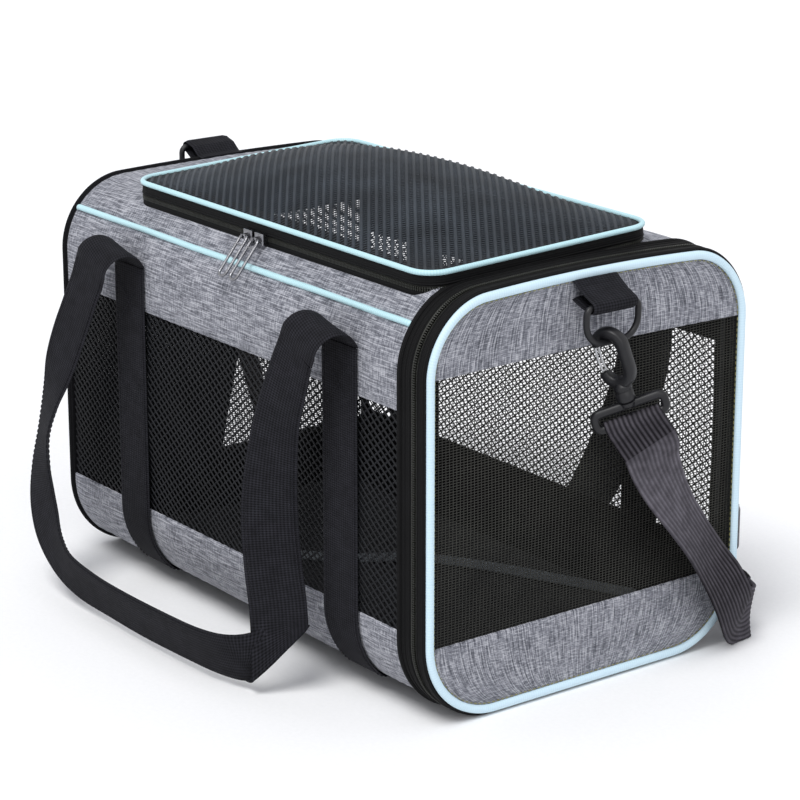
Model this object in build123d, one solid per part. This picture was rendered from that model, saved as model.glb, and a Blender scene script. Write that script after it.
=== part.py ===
from build123d import *
import os
from math import asin, cos, pi, radians, sin, sqrt, tan

# A soft-sided pet carrier, in mm.  +X is the front door, -Y the near side, +Z up.
# The origin is the middle of the face that the bag stands on.

# Body of the bag
bag_length = 430.0
bag_width = 270.0
bag_height = 280.0
top_radius = 48.0  # round of the end hoops at the top corners
base_radius = 57.0  # and at the bottom corners
crease_height = 14.0  # where the side bands turn under at the floor board's edge
base_flat = 140.0  # width that lies on the floor
fabric = 2.4  # padded cloth
netting = 1.2
fit = 0.3  # gap between pieces of different bodies
fit_round = 0.45  # and where webbing is folded round a bar

# Seams and windows
seam_drop = 18.0  # piping between the top panel and the side bands, below the bag's top
window_low = 60.0
window_drop = 71.0  # top edge of the side window, below the bag's top
piping_diameter = 5.0

# End hoops: a band round each end with a spring wire inside
hoop_cloth = 2.0
rear_band_depth = 8.5
gusset_depth = 9.2  # band on the bag's side of the door zipper
door_gusset_depth = 7.0  # and on the door's side
coil_depth = 1.4  # half of a zipper, measured across the teeth
coil_height = 2.6
zipper_gap = 0.6
wire_diameter = 3.6

# Door
trim_width = 8.0  # flat piping round the door
trim_thickness = 2.4
door_window_low = 53.0
door_window_drop = 47.0

# Top hatch, in a plane that leans towards the near side
hatch_rear_margin = 75.0  # from the bag's ends and sides to the hatch's rim
hatch_front_margin = 25.0
hatch_near_margin = 21.0
hatch_far_margin = 63.0
hatch_radius = 17.0
hatch_lean = 1.9  # degrees
hatch_rise = 16.0  # from the bag's top to the hatch's rim at the hinge side
hatch_gusset_height = 7.0
hatch_crown = 30.0
curb_cloth = 2.0
dome_edge = 3.0  # thickness of the crowned netting with its binding

# Floor
board_thickness = 3.0
pad_thickness = 14.0
lining_gap = 0.4

# Webbing
handle_width = 38.0
webbing = 1.8
sewn_rear_margin = 92.0  # from the bag's ends to the middle of each sewn leg
sewn_front_margin = 87.0
leg_fold_drop = 24.5  # how far the webbing folds below the top seam
far_shift = 16.0  # the far handle is sewn on this much further back
fold_radius = 13.0
fold_lean = 13.0  # degrees that each leg's fold is turned, so that the free strap leaves leaning back
tab_width = 37.0

# Rings and snap hooks
ring_bar = 4.4
ring_inside = 39.0
ring_drop = 24.0
ring_bend = 14.0
hook_thickness = 7.0
hook_width = 25.0
hook_length = 40.0
hook_bar = 5.4
hook_play = 1.3  # room between the hook and the ring's bar
gate_thickness = 5.0
gate_share = 0.46  # the gate's opening as a share of the hook's length
swivel_diameter = 12.0
swivel_length = 10.0
stem_diameter = 6.0
eye_inside = 40.0
eye_bar = 5.0
eye_slot = 6.0
eye_bend = 3.2

# Zipper sliders
slider_length = 10.0
slider_width = 8.0
slider_height = 5.0
pull_length = 30.0
pull_width = 9.0
pull_thickness = 1.6
pin_diameter = 1.2
pin_play = 0.05
pin_height = 2.0  # over the slider's body
lug_width = 2.6
lug_thickness = 1.0
pull_eye = 2.8
pull_eye_width = 2.6

# Safety leash on the floor pad
leash_width = 16.0
leash_thickness = 1.6
leash_clip_length = 34.0

# Places that follow from the sizes above
front_x = bag_length / 2
rear_x = -bag_length / 2
side_y = bag_width / 2
door_back = front_x - trim_thickness  # back of the flat piping, and the fold line of the door
door_panel_x = door_back - fabric
door_coil_front = door_back - door_gusset_depth
door_coil_rear = door_coil_front - coil_depth
body_coil_front = door_coil_rear - zipper_gap
gusset_front = body_coil_front - coil_depth
shell_front = gusset_front - gusset_depth
shell_rear = rear_x + rear_band_depth
pad_low = fabric + board_thickness + 2 * lining_gap
pad_high = pad_low + pad_thickness
seam_height = bag_height - seam_drop
window_high = bag_height - window_drop
door_window_high = bag_height - door_window_drop
hatch_rear = rear_x + hatch_rear_margin
hatch_front = front_x - hatch_front_margin
hatch_near = -side_y + hatch_near_margin
hatch_far = side_y - hatch_far_margin
sewn_rear = rear_x + sewn_rear_margin
sewn_front = front_x - sewn_front_margin
leg_fold_height = seam_height - leg_fold_drop
far_rear = sewn_rear - far_shift
far_front = sewn_front - far_shift
big = 2 * bag_length  # larger than anything it cuts


def export(name, shape):
    export_step(shape, os.path.join("parts", name + ".step"))


def block(x0, x1, y0, y1, z0, z1):
    middle = Pos((x0 + x1) / 2, (y0 + y1) / 2, (z0 + z1) / 2)
    return middle * Box(x1 - x0, y1 - y0, z1 - z0)


def heights(z0, z1):
    return block(-big, big, -big, big, z0, z1)


def near_half():
    return block(-big, big, -big, 0, -big, big)


def far_half():
    return block(-big, big, 0, big, -big, big)


def slab(sketch, x0, x1):
    return extrude(Plane.YZ.offset(x0) * sketch, amount=x1 - x0)


def end_outline(inset):
    # The shape of the end hoops, drawn with Y across and Z up.
    middle = Pos(0, bag_height / 2)
    shape = middle * Rectangle(bag_width - 2 * inset, bag_height - 2 * inset)
    shape = fillet(shape.vertices().group_by(Axis.Y)[-1], top_radius - inset)
    return fillet(shape.vertices().group_by(Axis.Y)[0], base_radius - inset)


def crease_y():
    rise = base_radius - crease_height
    return side_y - base_radius + sqrt(base_radius**2 - rise**2)


def body_section(inset):
    # The hoop's shape with its lower corners cut by the sloping sides of the base.
    slope = crease_height / (crease_y() - base_flat / 2)
    outer = slope * (bag_width - base_flat / 2)
    corners = [
        (-base_flat / 2, 0),
        (base_flat / 2, 0),
        (bag_width, outer),
        (bag_width, 2 * bag_height),
        (-bag_width, 2 * bag_height),
        (-bag_width, outer),
    ]
    shape = end_outline(0) & make_face(Polyline(*corners, close=True))
    return offset(shape, amount=-inset) if inset else shape


def hoop(outer, inner, x0, x1):
    return slab(end_outline(outer) - end_outline(inner), x0, x1)


def closed_solid(rings):
    # Joins rings of points, each with as many points, into one flat-faced solid.
    count = len(rings[0])
    faces = []
    for first, second in zip(rings, rings[1:]):
        for k in range(count):
            a, b = first[k], first[(k + 1) % count]
            c, d = second[(k + 1) % count], second[k]
            faces.append(Face(Wire.make_polygon([a, b, c])))
            faces.append(Face(Wire.make_polygon([a, c, d])))
    for ring in (rings[0], rings[-1]):
        for k in range(1, count - 1):
            faces.append(Face(Wire.make_polygon([ring[0], ring[k], ring[k + 1]])))
    return Solid(Shell(faces))


def smooth(points, steps):
    # Catmull-Rom points between the given ones, the ends kept.
    knots = [Vector(*p) for p in points]
    knots = [knots[0] * 2 - knots[1]] + knots + [knots[-1] * 2 - knots[-2]]
    out = []
    for p0, p1, p2, p3 in zip(knots, knots[1:], knots[2:], knots[3:]):
        for k in range(steps):
            t = k / steps
            out.append(
                p1
                + (p2 - p0) * (t / 2)
                + (p0 * 2 - p1 * 5 + p2 * 4 - p3) * (t * t / 2)
                + (p1 * 3 - p0 - p2 * 3 + p3) * (t**3 / 2)
            )
    return out + [knots[-2]]


def ribbon(points, across, width, thickness):
    # A flat strap through the points; across gives the way its width runs at each one.
    last = len(points) - 1
    rings = []
    for i, point in enumerate(points):
        along = (points[min(i + 1, last)] - points[max(i - 1, 0)]).normalized()
        side = across[i] - along * along.dot(across[i])
        side = side.normalized()
        up = along.cross(side)
        ring = []
        for s, t in ((-1, -1), (1, -1), (1, 1), (-1, 1)):
            ring.append(point + side * (s * width / 2) + up * (t * thickness / 2))
        rings.append(ring)
    return closed_solid(rings)


def strap(route, width, thickness, lead=(), tail=()):
    # A route lists (point, across) pairs; lead and tail list the points before and after it.
    points = list(lead) + smooth([point for point, across in route], 4) + list(tail)
    across = smooth([across for point, across in route], 4)
    across = [across[0]] * len(lead) + across + [across[-1]] * len(tail)
    return ribbon(points, across, width, thickness)


def mirrored(shape):
    return mirror(shape, about=Plane.XZ)


# ---------------------------------------------------------------- shell panels


def make_shell():
    tube = slab(body_section(0) - body_section(fabric), shell_rear, shell_front)
    top = tube & heights(seam_height, 2 * bag_height)
    top -= hatch_prism(curb_cloth, -bag_height / 2, bag_height)
    export("top_panel", top)
    net = slab(
        body_section((fabric - netting) / 2) - body_section((fabric + netting) / 2),
        shell_rear,
        shell_front,
    )
    rail = piping()
    for side, half in (("near", near_half()), ("far", far_half())):
        wall = tube & half
        export(side + "_upper_band", wall & heights(window_high, seam_height))
        export(side + "_side_mesh", net & half & heights(window_low, window_high))
        export(side + "_lower_band", wall & heights(crease_height, window_low))
        export(side + "_piping", rail if side == "near" else mirrored(rail))
    export("bottom_panel", tube & heights(-1, crease_height))


def piping():
    # A bead along the seam, lying on the rounded shoulder.
    turn = asin((seam_height - bag_height + top_radius) / top_radius)
    reach = top_radius + piping_diameter / 4
    y = -side_y + top_radius - reach * cos(turn)
    z = bag_height - top_radius + reach * sin(turn)
    bead = slab(Pos(y, z) * Circle(piping_diameter / 2), shell_rear, shell_front)
    return bead - slab(body_section(0), shell_rear, shell_front)


def make_floor():
    inner = slab(body_section(fabric + lining_gap), shell_rear + 1, shell_front - 1)
    board_low = fabric + lining_gap
    export("base_board", inner & heights(board_low, board_low + board_thickness))
    export("floor_pad", inner & heights(pad_low, pad_high))


def wire_ring(x):
    inset = hoop_cloth + wire_diameter / 2
    path = Plane.YZ.offset(x) * end_outline(inset)
    start = Plane(origin=(x, 0, inset), z_dir=(0, 1, 0))
    return sweep(start * Circle(wire_diameter / 2), path=path.wire())


def make_ends():
    band = hoop(0, hoop_cloth, rear_x, shell_rear)
    export("rear_binding", band)
    export("rear_frame_wire", wire_ring(rear_x + 2 * fabric + wire_diameter / 2))
    plate = slab(end_outline(hoop_cloth), rear_x + fabric / 2, rear_x + fabric * 3 / 2)
    low, high = door_window_low, door_window_high
    export("rear_upper_band", plate & heights(high, bag_height))
    export("rear_lower_band", plate & heights(0, low))
    net_x = rear_x + fabric - netting / 2
    net = slab(end_outline(hoop_cloth), net_x, net_x + netting)
    export("rear_mesh", net & heights(low, high))
    export("front_gusset", hoop(0, hoop_cloth, shell_front, gusset_front))
    coil_inset = (coil_height - hoop_cloth) / 2
    coil = hoop(-coil_inset, hoop_cloth + coil_inset, gusset_front, body_coil_front)
    export("front_zipper_bag_half", coil & heights(0, 2 * bag_height))
    export("front_frame_wire", wire_ring(shell_front + gusset_depth / 2))


# ---------------------------------------------------------------- front door


def make_door():
    plate = slab(end_outline(hoop_cloth), door_panel_x, door_back)
    low, high = door_window_low, door_window_high
    export("door_upper_band", plate & heights(high, bag_height))
    export("door_lower_band", plate & heights(0, low))
    net_x = door_back - (fabric + netting) / 2
    net = slab(end_outline(hoop_cloth), net_x, net_x + netting)
    export("door_mesh", net & heights(low, high))
    export("door_piping", hoop(0, trim_width, door_back, front_x))
    export("door_gusset", hoop(0, hoop_cloth, door_coil_front, door_back))
    coil_inset = (coil_height - hoop_cloth) / 2
    coil = hoop(-coil_inset, hoop_cloth + coil_inset, door_coil_rear, door_coil_front)
    export("front_zipper_door_half", coil & heights(0, 2 * bag_height))
    export("door_frame_wire", wire_ring(door_panel_x - wire_diameter / 2))
    export("front_tab", tab_loop())


tab_bar = (front_x + 18.5, 0.0, bag_height - 15.5)  # middle of the ring's bar in the front tab
tab_foot = 0.3  # the tab's ends stand this far off the cloth that they are sewn to


def around(centre, radius, start, end, steps=6):
    # Points of an arc in the XZ plane, angles from +X towards +Z.
    points = []
    for k in range(steps + 1):
        a = radians(start + (end - start) * k / steps)
        points.append(centre + Vector(radius * cos(a), 0, radius * sin(a)))
    return points


def tab_loop():
    # Webbing from the door's top seam, round the ring's bar and back.
    bar = Vector(*tab_bar)
    bend = ring_bar / 2 + fit_round + webbing / 2
    seam = door_back + tab_foot
    top = bag_height - trim_width - webbing - tab_foot
    points = [Vector(seam, 0, top), Vector(seam + 6.0, 0, top + 0.4)]
    points += around(bar, bend, 70, -110)
    points += [Vector(seam + 5.0, 0, top - 7.5), Vector(seam, 0, top - 7.0)]
    across = [Vector(0, 1, 0)] * len(points)
    return ribbon(points, across, tab_width, webbing)


# ---------------------------------------------------------------- top hatch


def hatch_plane():
    # The rim's plane, from the middle of the hinge side.
    lean = radians(hatch_lean)
    up = (0, -sin(lean), cos(lean))
    origin = ((hatch_rear + hatch_front) / 2, hatch_far, bag_height + hatch_rise)
    return Plane(origin=origin, x_dir=(1, 0, 0), z_dir=up)


def hatch_outline(inset):
    length = hatch_front - hatch_rear - 2 * inset
    width = hatch_far - hatch_near - 2 * inset
    shape = Pos(0, -(hatch_far - hatch_near) / 2) * Rectangle(length, width)
    return fillet(shape.vertices(), hatch_radius - inset)


def hatch_prism(inset, low, high):
    # Low and high are measured from the rim's plane.
    plane = hatch_plane()
    return extrude(plane.offset(low) * hatch_outline(inset), amount=high - low)


def hatch_wall(outer, inner, low, high):
    return hatch_prism(outer, low, high) - hatch_prism(inner, low, high)


def make_hatch():
    coil_inset = (coil_height - curb_cloth) / 2
    gusset_low = -hatch_gusset_height
    coil_low = gusset_low - coil_depth
    curb_coil_high = coil_low - zipper_gap
    curb_high = curb_coil_high - coil_depth
    curb = hatch_wall(0, curb_cloth, -bag_height / 4, curb_high)
    curb -= slab(body_section(0), rear_x, front_x)
    export("hatch_curb", curb)
    outer, inner = -coil_inset, curb_cloth + coil_inset
    export("hatch_zipper_bag_half", hatch_wall(outer, inner, curb_high, curb_coil_high))
    export("hatch_zipper_lid_half", hatch_wall(outer, inner, coil_low, gusset_low))
    export("hatch_gusset", hatch_wall(0, curb_cloth, gusset_low, 0))
    bead = piping_diameter / 2
    rim = hatch_wall(-bead / 2, piping_diameter - bead / 2, 0, piping_diameter * 0.8)
    export("hatch_piping", rim)
    export("hatch_mesh", hatch_dome(piping_diameter - bead / 2 + 0.1))


def rounded_points(half_length, half_width, radius):
    points = []
    for corner in range(4):
        sx = (1, -1, -1, 1)[corner]
        sy = (1, 1, -1, -1)[corner]
        centre_x = sx * (half_length - radius)
        centre_y = sy * (half_width - radius)
        for k in range(7):
            a = radians(90 * corner + 15 * k)
            points.append((centre_x + radius * cos(a), centre_y + radius * sin(a)))
    return points


def hatch_dome(inset):
    # Crowned netting: the height over the rim is the crown times (1-u2)(1-v2).
    half_length = (hatch_front - hatch_rear) / 2 - inset
    half_width = (hatch_far - hatch_near) / 2 - inset
    outline = rounded_points(half_length, half_width, hatch_radius - inset)
    plane = hatch_plane()
    shift = -(hatch_far - hatch_near) / 2
    shares = [1.0, 0.88, 0.75, 0.6, 0.45, 0.3, 0.15, 0.05]

    def rings(lift, order):
        out = []
        for share in order:
            ring = []
            for x, y in outline:
                u = share * x / half_length
                v = share * y / half_width
                z = hatch_crown * (1 - u * u) * (1 - v * v) + lift
                ring.append(plane.from_local_coords(Vector(share * x, share * y + shift, z)))
            out.append(ring)
        return out

    upper = rings(dome_edge, list(reversed(shares)))
    lower = rings(0, shares)
    return closed_solid(upper + lower)


# ---------------------------------------------------------------- handles


def fold_axis():
    # Directions of a leg's fold: along its axis, and up square to that.
    lean = radians(fold_lean)
    return Vector(cos(lean), 0, -sin(lean)), Vector(sin(lean), 0, cos(lean))


def fold_point(middle, turn):
    # The strap winds round the leaning fold: a point and the way of its width.
    along, up = fold_axis()
    lean = radians(fold_lean)
    centre = Vector(middle, -side_y - webbing / 2 - fold_radius, leg_fold_height)
    point = centre + Vector(0, fold_radius * cos(turn), 0) + up * (fold_radius * sin(turn))
    point -= along * (fold_radius * turn * tan(lean))
    way = Vector(0, -sin(turn), 0) + up * cos(turn)
    return point, along * cos(lean) + way * sin(lean)


def sewn_leg(middle):
    # Webbing sewn up the side and folded outwards at its top.
    half = handle_width / 2
    skin = body_section(-webbing) - body_section(0)
    leg = slab(skin, middle - half, middle + half)
    leg &= near_half() & heights(2.0, leg_fold_height)
    route = [fold_point(middle, pi * k / 12) for k in range(13)]
    points = [point for point, across in route]
    return leg + ribbon(points, [across for point, across in route], handle_width, webbing)


def loop_end(middle, reach):
    # Where the free strap starts, 'reach' past the end of a leg's fold.
    point, across = fold_point(middle, pi)
    down = Vector(-sin(2 * radians(fold_lean)), 0, -cos(2 * radians(fold_lean)))
    return point + down * reach, across


def mirror_way(pair):
    # The same point and way on the far side.
    point, across = pair
    return Vector(point.X, -point.Y, point.Z), Vector(across.X, -across.Y, across.Z)


def at(x, y, z):
    # A point of a free strap, in shares of the bag's half length, half width and height.
    return Vector(x * front_x, y * side_y, z * bag_height)


# The near loop: (point, way its width runs), down the rear leg to the folded corner,
# and down the front leg to the same corner
rear_leg = [
    loop_end(sewn_rear, 6.0),
    (at(-0.6535, -1.2111, 0.7929), Vector(0.9, -0.03, -0.4)),
    (at(-0.6907, -1.2333, 0.7214), Vector(0.92, 0, -0.36)),
    (at(-0.7279, -1.2593, 0.6464), Vector(0.95, 0.02, -0.3)),
    (at(-0.7605, -1.2852, 0.5714), Vector(0.96, -0.05, -0.25)),
    (at(-0.7837, -1.3148, 0.4929), Vector(0.95, -0.25, -0.12)),
    (at(-0.7953, -1.3519, 0.4071), Vector(0.93, -0.33, 0.05)),
    (at(-0.7837, -1.3889, 0.325), Vector(0.9, -0.15, 0.3)),
    (at(-0.7488, -1.4222, 0.25), Vector(0.75, 0.05, 0.6)),
    (at(-0.686, -1.4519, 0.1804), Vector(0.5, 0.1, 0.8)),
    (at(-0.5953, -1.4778, 0.1268), Vector(0.28, -0.05, 0.92)),
    (at(-0.4837, -1.4889, 0.0946), Vector(0.1, -0.22, 0.94)),
    (at(-0.3023, -1.4889, 0.0814), Vector(0.03, -0.33, 0.93)),
    (at(-0.1023, -1.4889, 0.0779), Vector(0, -0.35, 0.94)),
    (at(0.1395, -1.4815, 0.0796), Vector(0, -0.36, 0.93)),
    (at(0.2884, -1.4667, 0.0814), Vector(0, -0.36, 0.93)),
    (at(0.3907, -1.4296, 0.085), Vector(0, -0.34, 0.94)),
    (at(0.4558, -1.3667, 0.0946), Vector(0, -0.3, 0.95)),
    (at(0.507, -1.2741, 0.1071), Vector(0, 0, 1)),
]
front_leg = [
    loop_end(sewn_front, 6.0),
    (at(0.507, -1.2148, 0.7679), Vector(0.93, 0.1, -0.3)),
    (at(0.4767, -1.2444, 0.6643), Vector(0.95, 0.24, -0.15)),
    (at(0.4605, -1.2667, 0.5357), Vector(0.85, 0.5, 0)),
    (at(0.4581, -1.2741, 0.425), Vector(0.7, 0.7, 0)),
    (at(0.4744, -1.2741, 0.3107), Vector(0.62, 0.78, 0)),
    (at(0.4977, -1.2741, 0.2143), Vector(0.6, 0.8, 0)),
    (at(0.507, -1.2741, 0.1214), Vector(0.6, 0.8, 0)),
]
corner = rear_leg[-1][0]
corner_way = Vector(0.6, 0.8, 0)  # the way the front leg's width runs at the corner
corner_face = Vector(0.8, -0.6, 0)  # and the way its face looks
corner_layers = 0.8  # each of the two layers stands this far from the corner's middle

# The far loop has slumped backwards: its lower run lies flat along the floor
far_loop = [
    mirror_way(loop_end(far_rear, 6.0)),
    (at(-0.7442, 1.2185, 0.7714), Vector(0.88, -0.2, -0.35)),
    (at(-0.814, 1.2481, 0.6714), Vector(0.75, -0.6, -0.15)),
    (at(-0.8977, 1.2741, 0.5357), Vector(0.45, -0.9, 0.05)),
    (at(-0.9581, 1.2815, 0.3714), Vector(0.1, -1, 0)),
    (at(-0.9395, 1.2593, 0.2143), Vector(0, -1, 0)),
    (at(-0.8279, 1.2296, 0.0857), Vector(0, -1, 0)),
    (at(-0.6512, 1.2, 0.0268), Vector(0, -1, 0)),
    (at(-0.4558, 1.1852, 0.0129), Vector(0, -1, 0)),
    (at(-0.2326, 1.1852, 0.0129), Vector(0, -1, 0)),
    (at(-0.0651, 1.2148, 0.0304), Vector(-0.1, -1, 0)),
    (at(0.0372, 1.2593, 0.0929), Vector(-0.35, -0.93, 0)),
    (at(0.093, 1.2889, 0.1714), Vector(-0.5, -0.85, 0)),
    (at(0.1674, 1.3037, 0.2786), Vector(-0.58, -0.81, 0)),
    (at(0.2419, 1.3037, 0.3929), Vector(-0.62, -0.78, 0.05)),
    (at(0.3163, 1.2889, 0.5179), Vector(-0.7, -0.7, 0.1)),
    (at(0.3721, 1.2593, 0.6429), Vector(-0.85, -0.45, 0.25)),
    (at(0.4233, 1.2222, 0.7643), Vector(-0.9, -0.15, 0.4)),
    (mirror_way(loop_end(far_front, 6.0))[0], mirror_way(loop_end(far_front, 6.0))[1] * -1),
]


def near_loop():
    # Both runs reach past the corner and are cut along its slanting crease.
    back = rear_leg[:-1] + [(corner - corner_face * corner_layers, Vector(0, 0, 1))]
    back += [(back[-1][0] + corner_way * 28, Vector(0, 0, 1))]
    front = front_leg[:-1] + [(corner + corner_face * corner_layers, corner_way)]
    front += [(front[-1][0] - Vector(0, 0, 28), corner_way)]
    loop = strap(back, handle_width, webbing, [loop_end(sewn_rear, 2 * fit)[0]])
    loop += strap(front, handle_width, webbing, [loop_end(sewn_front, 2 * fit)[0]])
    beyond = Plane(corner, x_dir=corner_face, z_dir=corner_way - Vector(0, 0, 1))
    return loop - beyond.location * Box(80, 120, 80, align=(Align.CENTER, Align.CENTER, Align.MIN))


def make_handles():
    export("near_handle_legs", Compound(children=[sewn_leg(sewn_rear), sewn_leg(sewn_front)]))
    export("near_handle", near_loop())
    legs = Compound(children=[sewn_leg(far_rear), sewn_leg(far_front)])
    export("far_handle_legs", mirrored(legs))
    ends = [mirror_way(loop_end(middle, 2 * fit))[0] for middle in (far_rear, far_front)]
    export("far_handle", strap(far_loop, handle_width, webbing, ends[:1], ends[1:]))


# ---------------------------------------------------------------- rings, hooks, straps


def round_loop(shape, diameter):
    # Round bar along the edge of a flat shape.
    path = shape.wire()
    start = Plane(origin=path @ 0, z_dir=path % 0)
    return sweep(start * Circle(diameter / 2), path=path)


def ring(bar):
    # A D ring whose straight bar runs along Y through the point bar.
    middle = Pos(0, -ring_drop / 2)
    shape = middle * Rectangle(ring_inside + ring_bar, ring_drop)
    shape = fillet(shape.vertices().group_by(Axis.Y)[-1], ring_bar)
    shape = fillet(shape.vertices().group_by(Axis.Y)[0], ring_bend)
    return round_loop(Plane(bar, x_dir=(0, 1, 0), z_dir=(1, 0, 0)) * shape, ring_bar)


class HookFrame:
    # Directions of a snap hook that hangs at a bar: down its length, and across.
    def __init__(self, bar, down, hook_across, eye_across):
        self.bar = Vector(*bar)
        self.down = Vector(*down).normalized()
        self.hook_across = self.square(hook_across)
        self.eye_across = self.square(eye_across)

    def square(self, across):
        way = Vector(*across)
        return (way - self.down * way.dot(self.down)).normalized()

    def plane(self, across, depth):
        # Local X runs across, local Y up the hook, from a point depth below the bar.
        up = self.down * -1
        return Plane(self.bar + self.down * depth, x_dir=across, z_dir=across.cross(up))


def hook_end():
    # Depths below the ring's bar at which each piece of the hook starts.
    top = ring_bar / 2 + hook_play + hook_bar
    barrel = hook_length - top
    neck = barrel + swivel_length
    return top, barrel, neck


def hook(frame):
    top, barrel, neck = hook_end()
    plane = frame.plane(frame.hook_across, 0)
    outer = SlotOverall(hook_length, hook_width, rotation=90)
    inner = SlotOverall(hook_length - 2 * hook_bar, hook_width - 2 * hook_bar, rotation=90)
    middle = Pos(0, top - hook_length / 2)
    shape = middle * (outer - inner)
    opening = Rectangle(hook_width * 0.7, hook_length * gate_share)
    shape -= Pos(-hook_width / 2, top - hook_length / 2) * opening
    body = extrude(plane * shape, hook_thickness / 2, both=True)
    below = Plane(frame.bar + frame.down * (barrel - 1.0), z_dir=frame.down)
    post = extrude(below * Circle(swivel_diameter / 2), swivel_length + 1.0)
    bore_from = below.offset(3.0)
    post -= extrude(bore_from * Circle(stem_diameter / 2 + 0.05), swivel_length)
    return body + post


def gate(frame):
    # The sprung gate that closes the hook's gap, hinged at its round lower end.
    top, barrel, neck = hook_end()
    plane = frame.plane(frame.hook_across, 0)
    length = hook_length * gate_share - 2 * fit
    middle = Pos(-hook_width / 2 + gate_thickness / 2, top - hook_length / 2)
    shape = middle * Pos(0, gate_thickness / 4) * Rectangle(gate_thickness, length - gate_thickness / 2)
    shape += middle * Pos(0, (gate_thickness - length) / 2) * Circle(gate_thickness / 2)
    return extrude(plane * shape, hook_thickness / 2 - 0.5, both=True)


def eye(frame):
    # The strap's eye, whose stem turns in the hook's barrel.
    top, barrel, neck = hook_end()
    plane = frame.plane(frame.eye_across, neck)
    height = eye_slot + 2 * eye_bar
    middle = Pos(0, -height / 2 - fit)
    loop = RectangleRounded(eye_inside + eye_bar, height - eye_bar, eye_bend)
    body = round_loop(plane * middle * loop, eye_bar)
    stem_top = Plane(frame.bar + frame.down * (neck - swivel_length + 3.6), z_dir=frame.down)
    stem = extrude(stem_top * Circle(stem_diameter / 2), swivel_length - 3.6 + fit + eye_bar / 2)
    return body + stem


def eye_bar_point(frame):
    top, barrel, neck = hook_end()
    return frame.bar + frame.down * (neck + fit + eye_bar * 1.5 + eye_slot)


front_hook_bar = (tab_bar[0], -3.0, tab_bar[2] - ring_drop)
front_frame = HookFrame(front_hook_bar, (0.16, 0.26, -0.95), (0.95, 0.31, 0), (0.5, 0.86, 0))
rear_tab_bar = (rear_x - 15.5, 0.0, bag_height + 10.0)
rear_hook_bar = (rear_tab_bar[0], 0.0, rear_tab_bar[2] - ring_drop)
rear_frame = HookFrame(rear_hook_bar, (0.0, 0.25, -0.97), (-0.97, 0.24, 0), (-0.3, 0.95, 0))


def strap_bend():
    return eye_bar / 2 + fit_round + webbing / 2


def strap_side(frame):
    return frame.eye_across.cross(frame.down)


def strap_top(frame):
    # Where the strap leaves the eye's lower bar.
    return eye_bar_point(frame) + strap_side(frame) * strap_bend()


corner_gap = 1.2  # the shoulder strap's loop is parted here, beyond the far side


def front_strap_route():
    start = strap_top(front_frame)
    across = front_frame.eye_across
    return [
        (start, across),
        (start + front_frame.down * 18 + Vector(0, 2, 0), across),
        (at(1.1047, 0.3111, 0.5536), Vector(0.35, 0.9, 0.25)),
        (at(1.0977, 0.5259, 0.4036), Vector(0.15, 0.92, 0.4)),
        (at(1.0884, 0.7333, 0.2571), Vector(0.1, 0.85, 0.52)),
        (at(1.0837, 0.8963, 0.1536), Vector(0.05, 0.78, 0.6)),
        (at(1.0744, 1.0074, 0.0964), Vector(-0.25, 0.6, 0.75)),
        (at(1.0372, 1.0889, 0.075), Vector(-0.45, 0.2, 0.87)),
        (at(0.9628, 1.1407, 0.0696), Vector(-0.1, 0.1, 1)),
    ]


def floor_strap_route():
    corner = at(0.9628, 1.1407, 0.0696)
    return [
        (corner - Vector(corner_gap, 0, 0), Vector(-0.1, 0.1, 1)),
        (at(0.8465, 1.1852, 0.0689), Vector(0, 0.25, 0.97)),
        (at(0.6884, 1.2667, 0.0571), Vector(0, 0.6, 0.8)),
        (at(0.5023, 1.4074, 0.0286), Vector(0.1, 0.93, 0.36)),
        (at(0.2977, 1.5259, 0.0114), Vector(0.15, 0.98, 0.1)),
        (at(0.0465, 1.6, 0.0057), Vector(0.05, 1, 0)),
        (at(-0.2326, 1.5852, 0.0057), Vector(-0.05, 1, 0)),
        (at(-0.4884, 1.5037, 0.0057), Vector(-0.25, 0.97, 0)),
        (at(-0.7349, 1.3556, 0.0057), Vector(-0.45, 0.89, 0)),
        (at(-0.9535, 1.1185, 0.0064), Vector(-0.65, 0.76, 0)),
        (at(-1.107, 0.8, 0.0286), Vector(-0.78, 0.6, 0.1)),
        (at(-1.1674, 0.5511, 0.1089), Vector(-0.5, 0.8, 0.3)),
    ]


def rear_strap_route():
    start = strap_top(rear_frame)
    across = rear_frame.eye_across
    return [
        (start, across),
        (start + rear_frame.down * 20, across),
        (at(-1.0977, 0.2444, 0.5357), Vector(-0.15, 0.97, 0.2)),
        (at(-1.1163, 0.3407, 0.375), Vector(-0.2, 0.95, 0.25)),
        (at(-1.1488, 0.4444, 0.2321), Vector(-0.35, 0.88, 0.3)),
        (at(-1.1674, 0.5452, 0.1229), Vector(-0.5, 0.8, 0.3)),
    ]


def strap_with_fold(frame, route):
    # The single strap, whose end is folded round the eye's lower bar.
    point = eye_bar_point(frame)
    out = strap_side(frame)
    bend = strap_bend()
    fold = []
    for k in range(15):
        a = radians(262 - 256 * k / 14)
        fold.append(point + out * (bend * cos(a)) - frame.down * (bend * sin(a)))
    return strap(route, handle_width, webbing, fold)


def adjuster():
    # A flat three-bar slide on the strap behind the bag.
    outer = RectangleRounded(handle_width + 12, 30, 4)
    slot = Rectangle(handle_width + 3, 8)
    shape = outer - Pos(0, 6) * slot - Pos(0, -6) * slot
    seat = at(0.0465, 1.6, 0.0057) + Vector(0, 0, webbing / 2 + 2 * fit)
    return extrude(Plane(seat, x_dir=(0, 1, 0), z_dir=(0, 0, 1)) * shape, 2.5)


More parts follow.
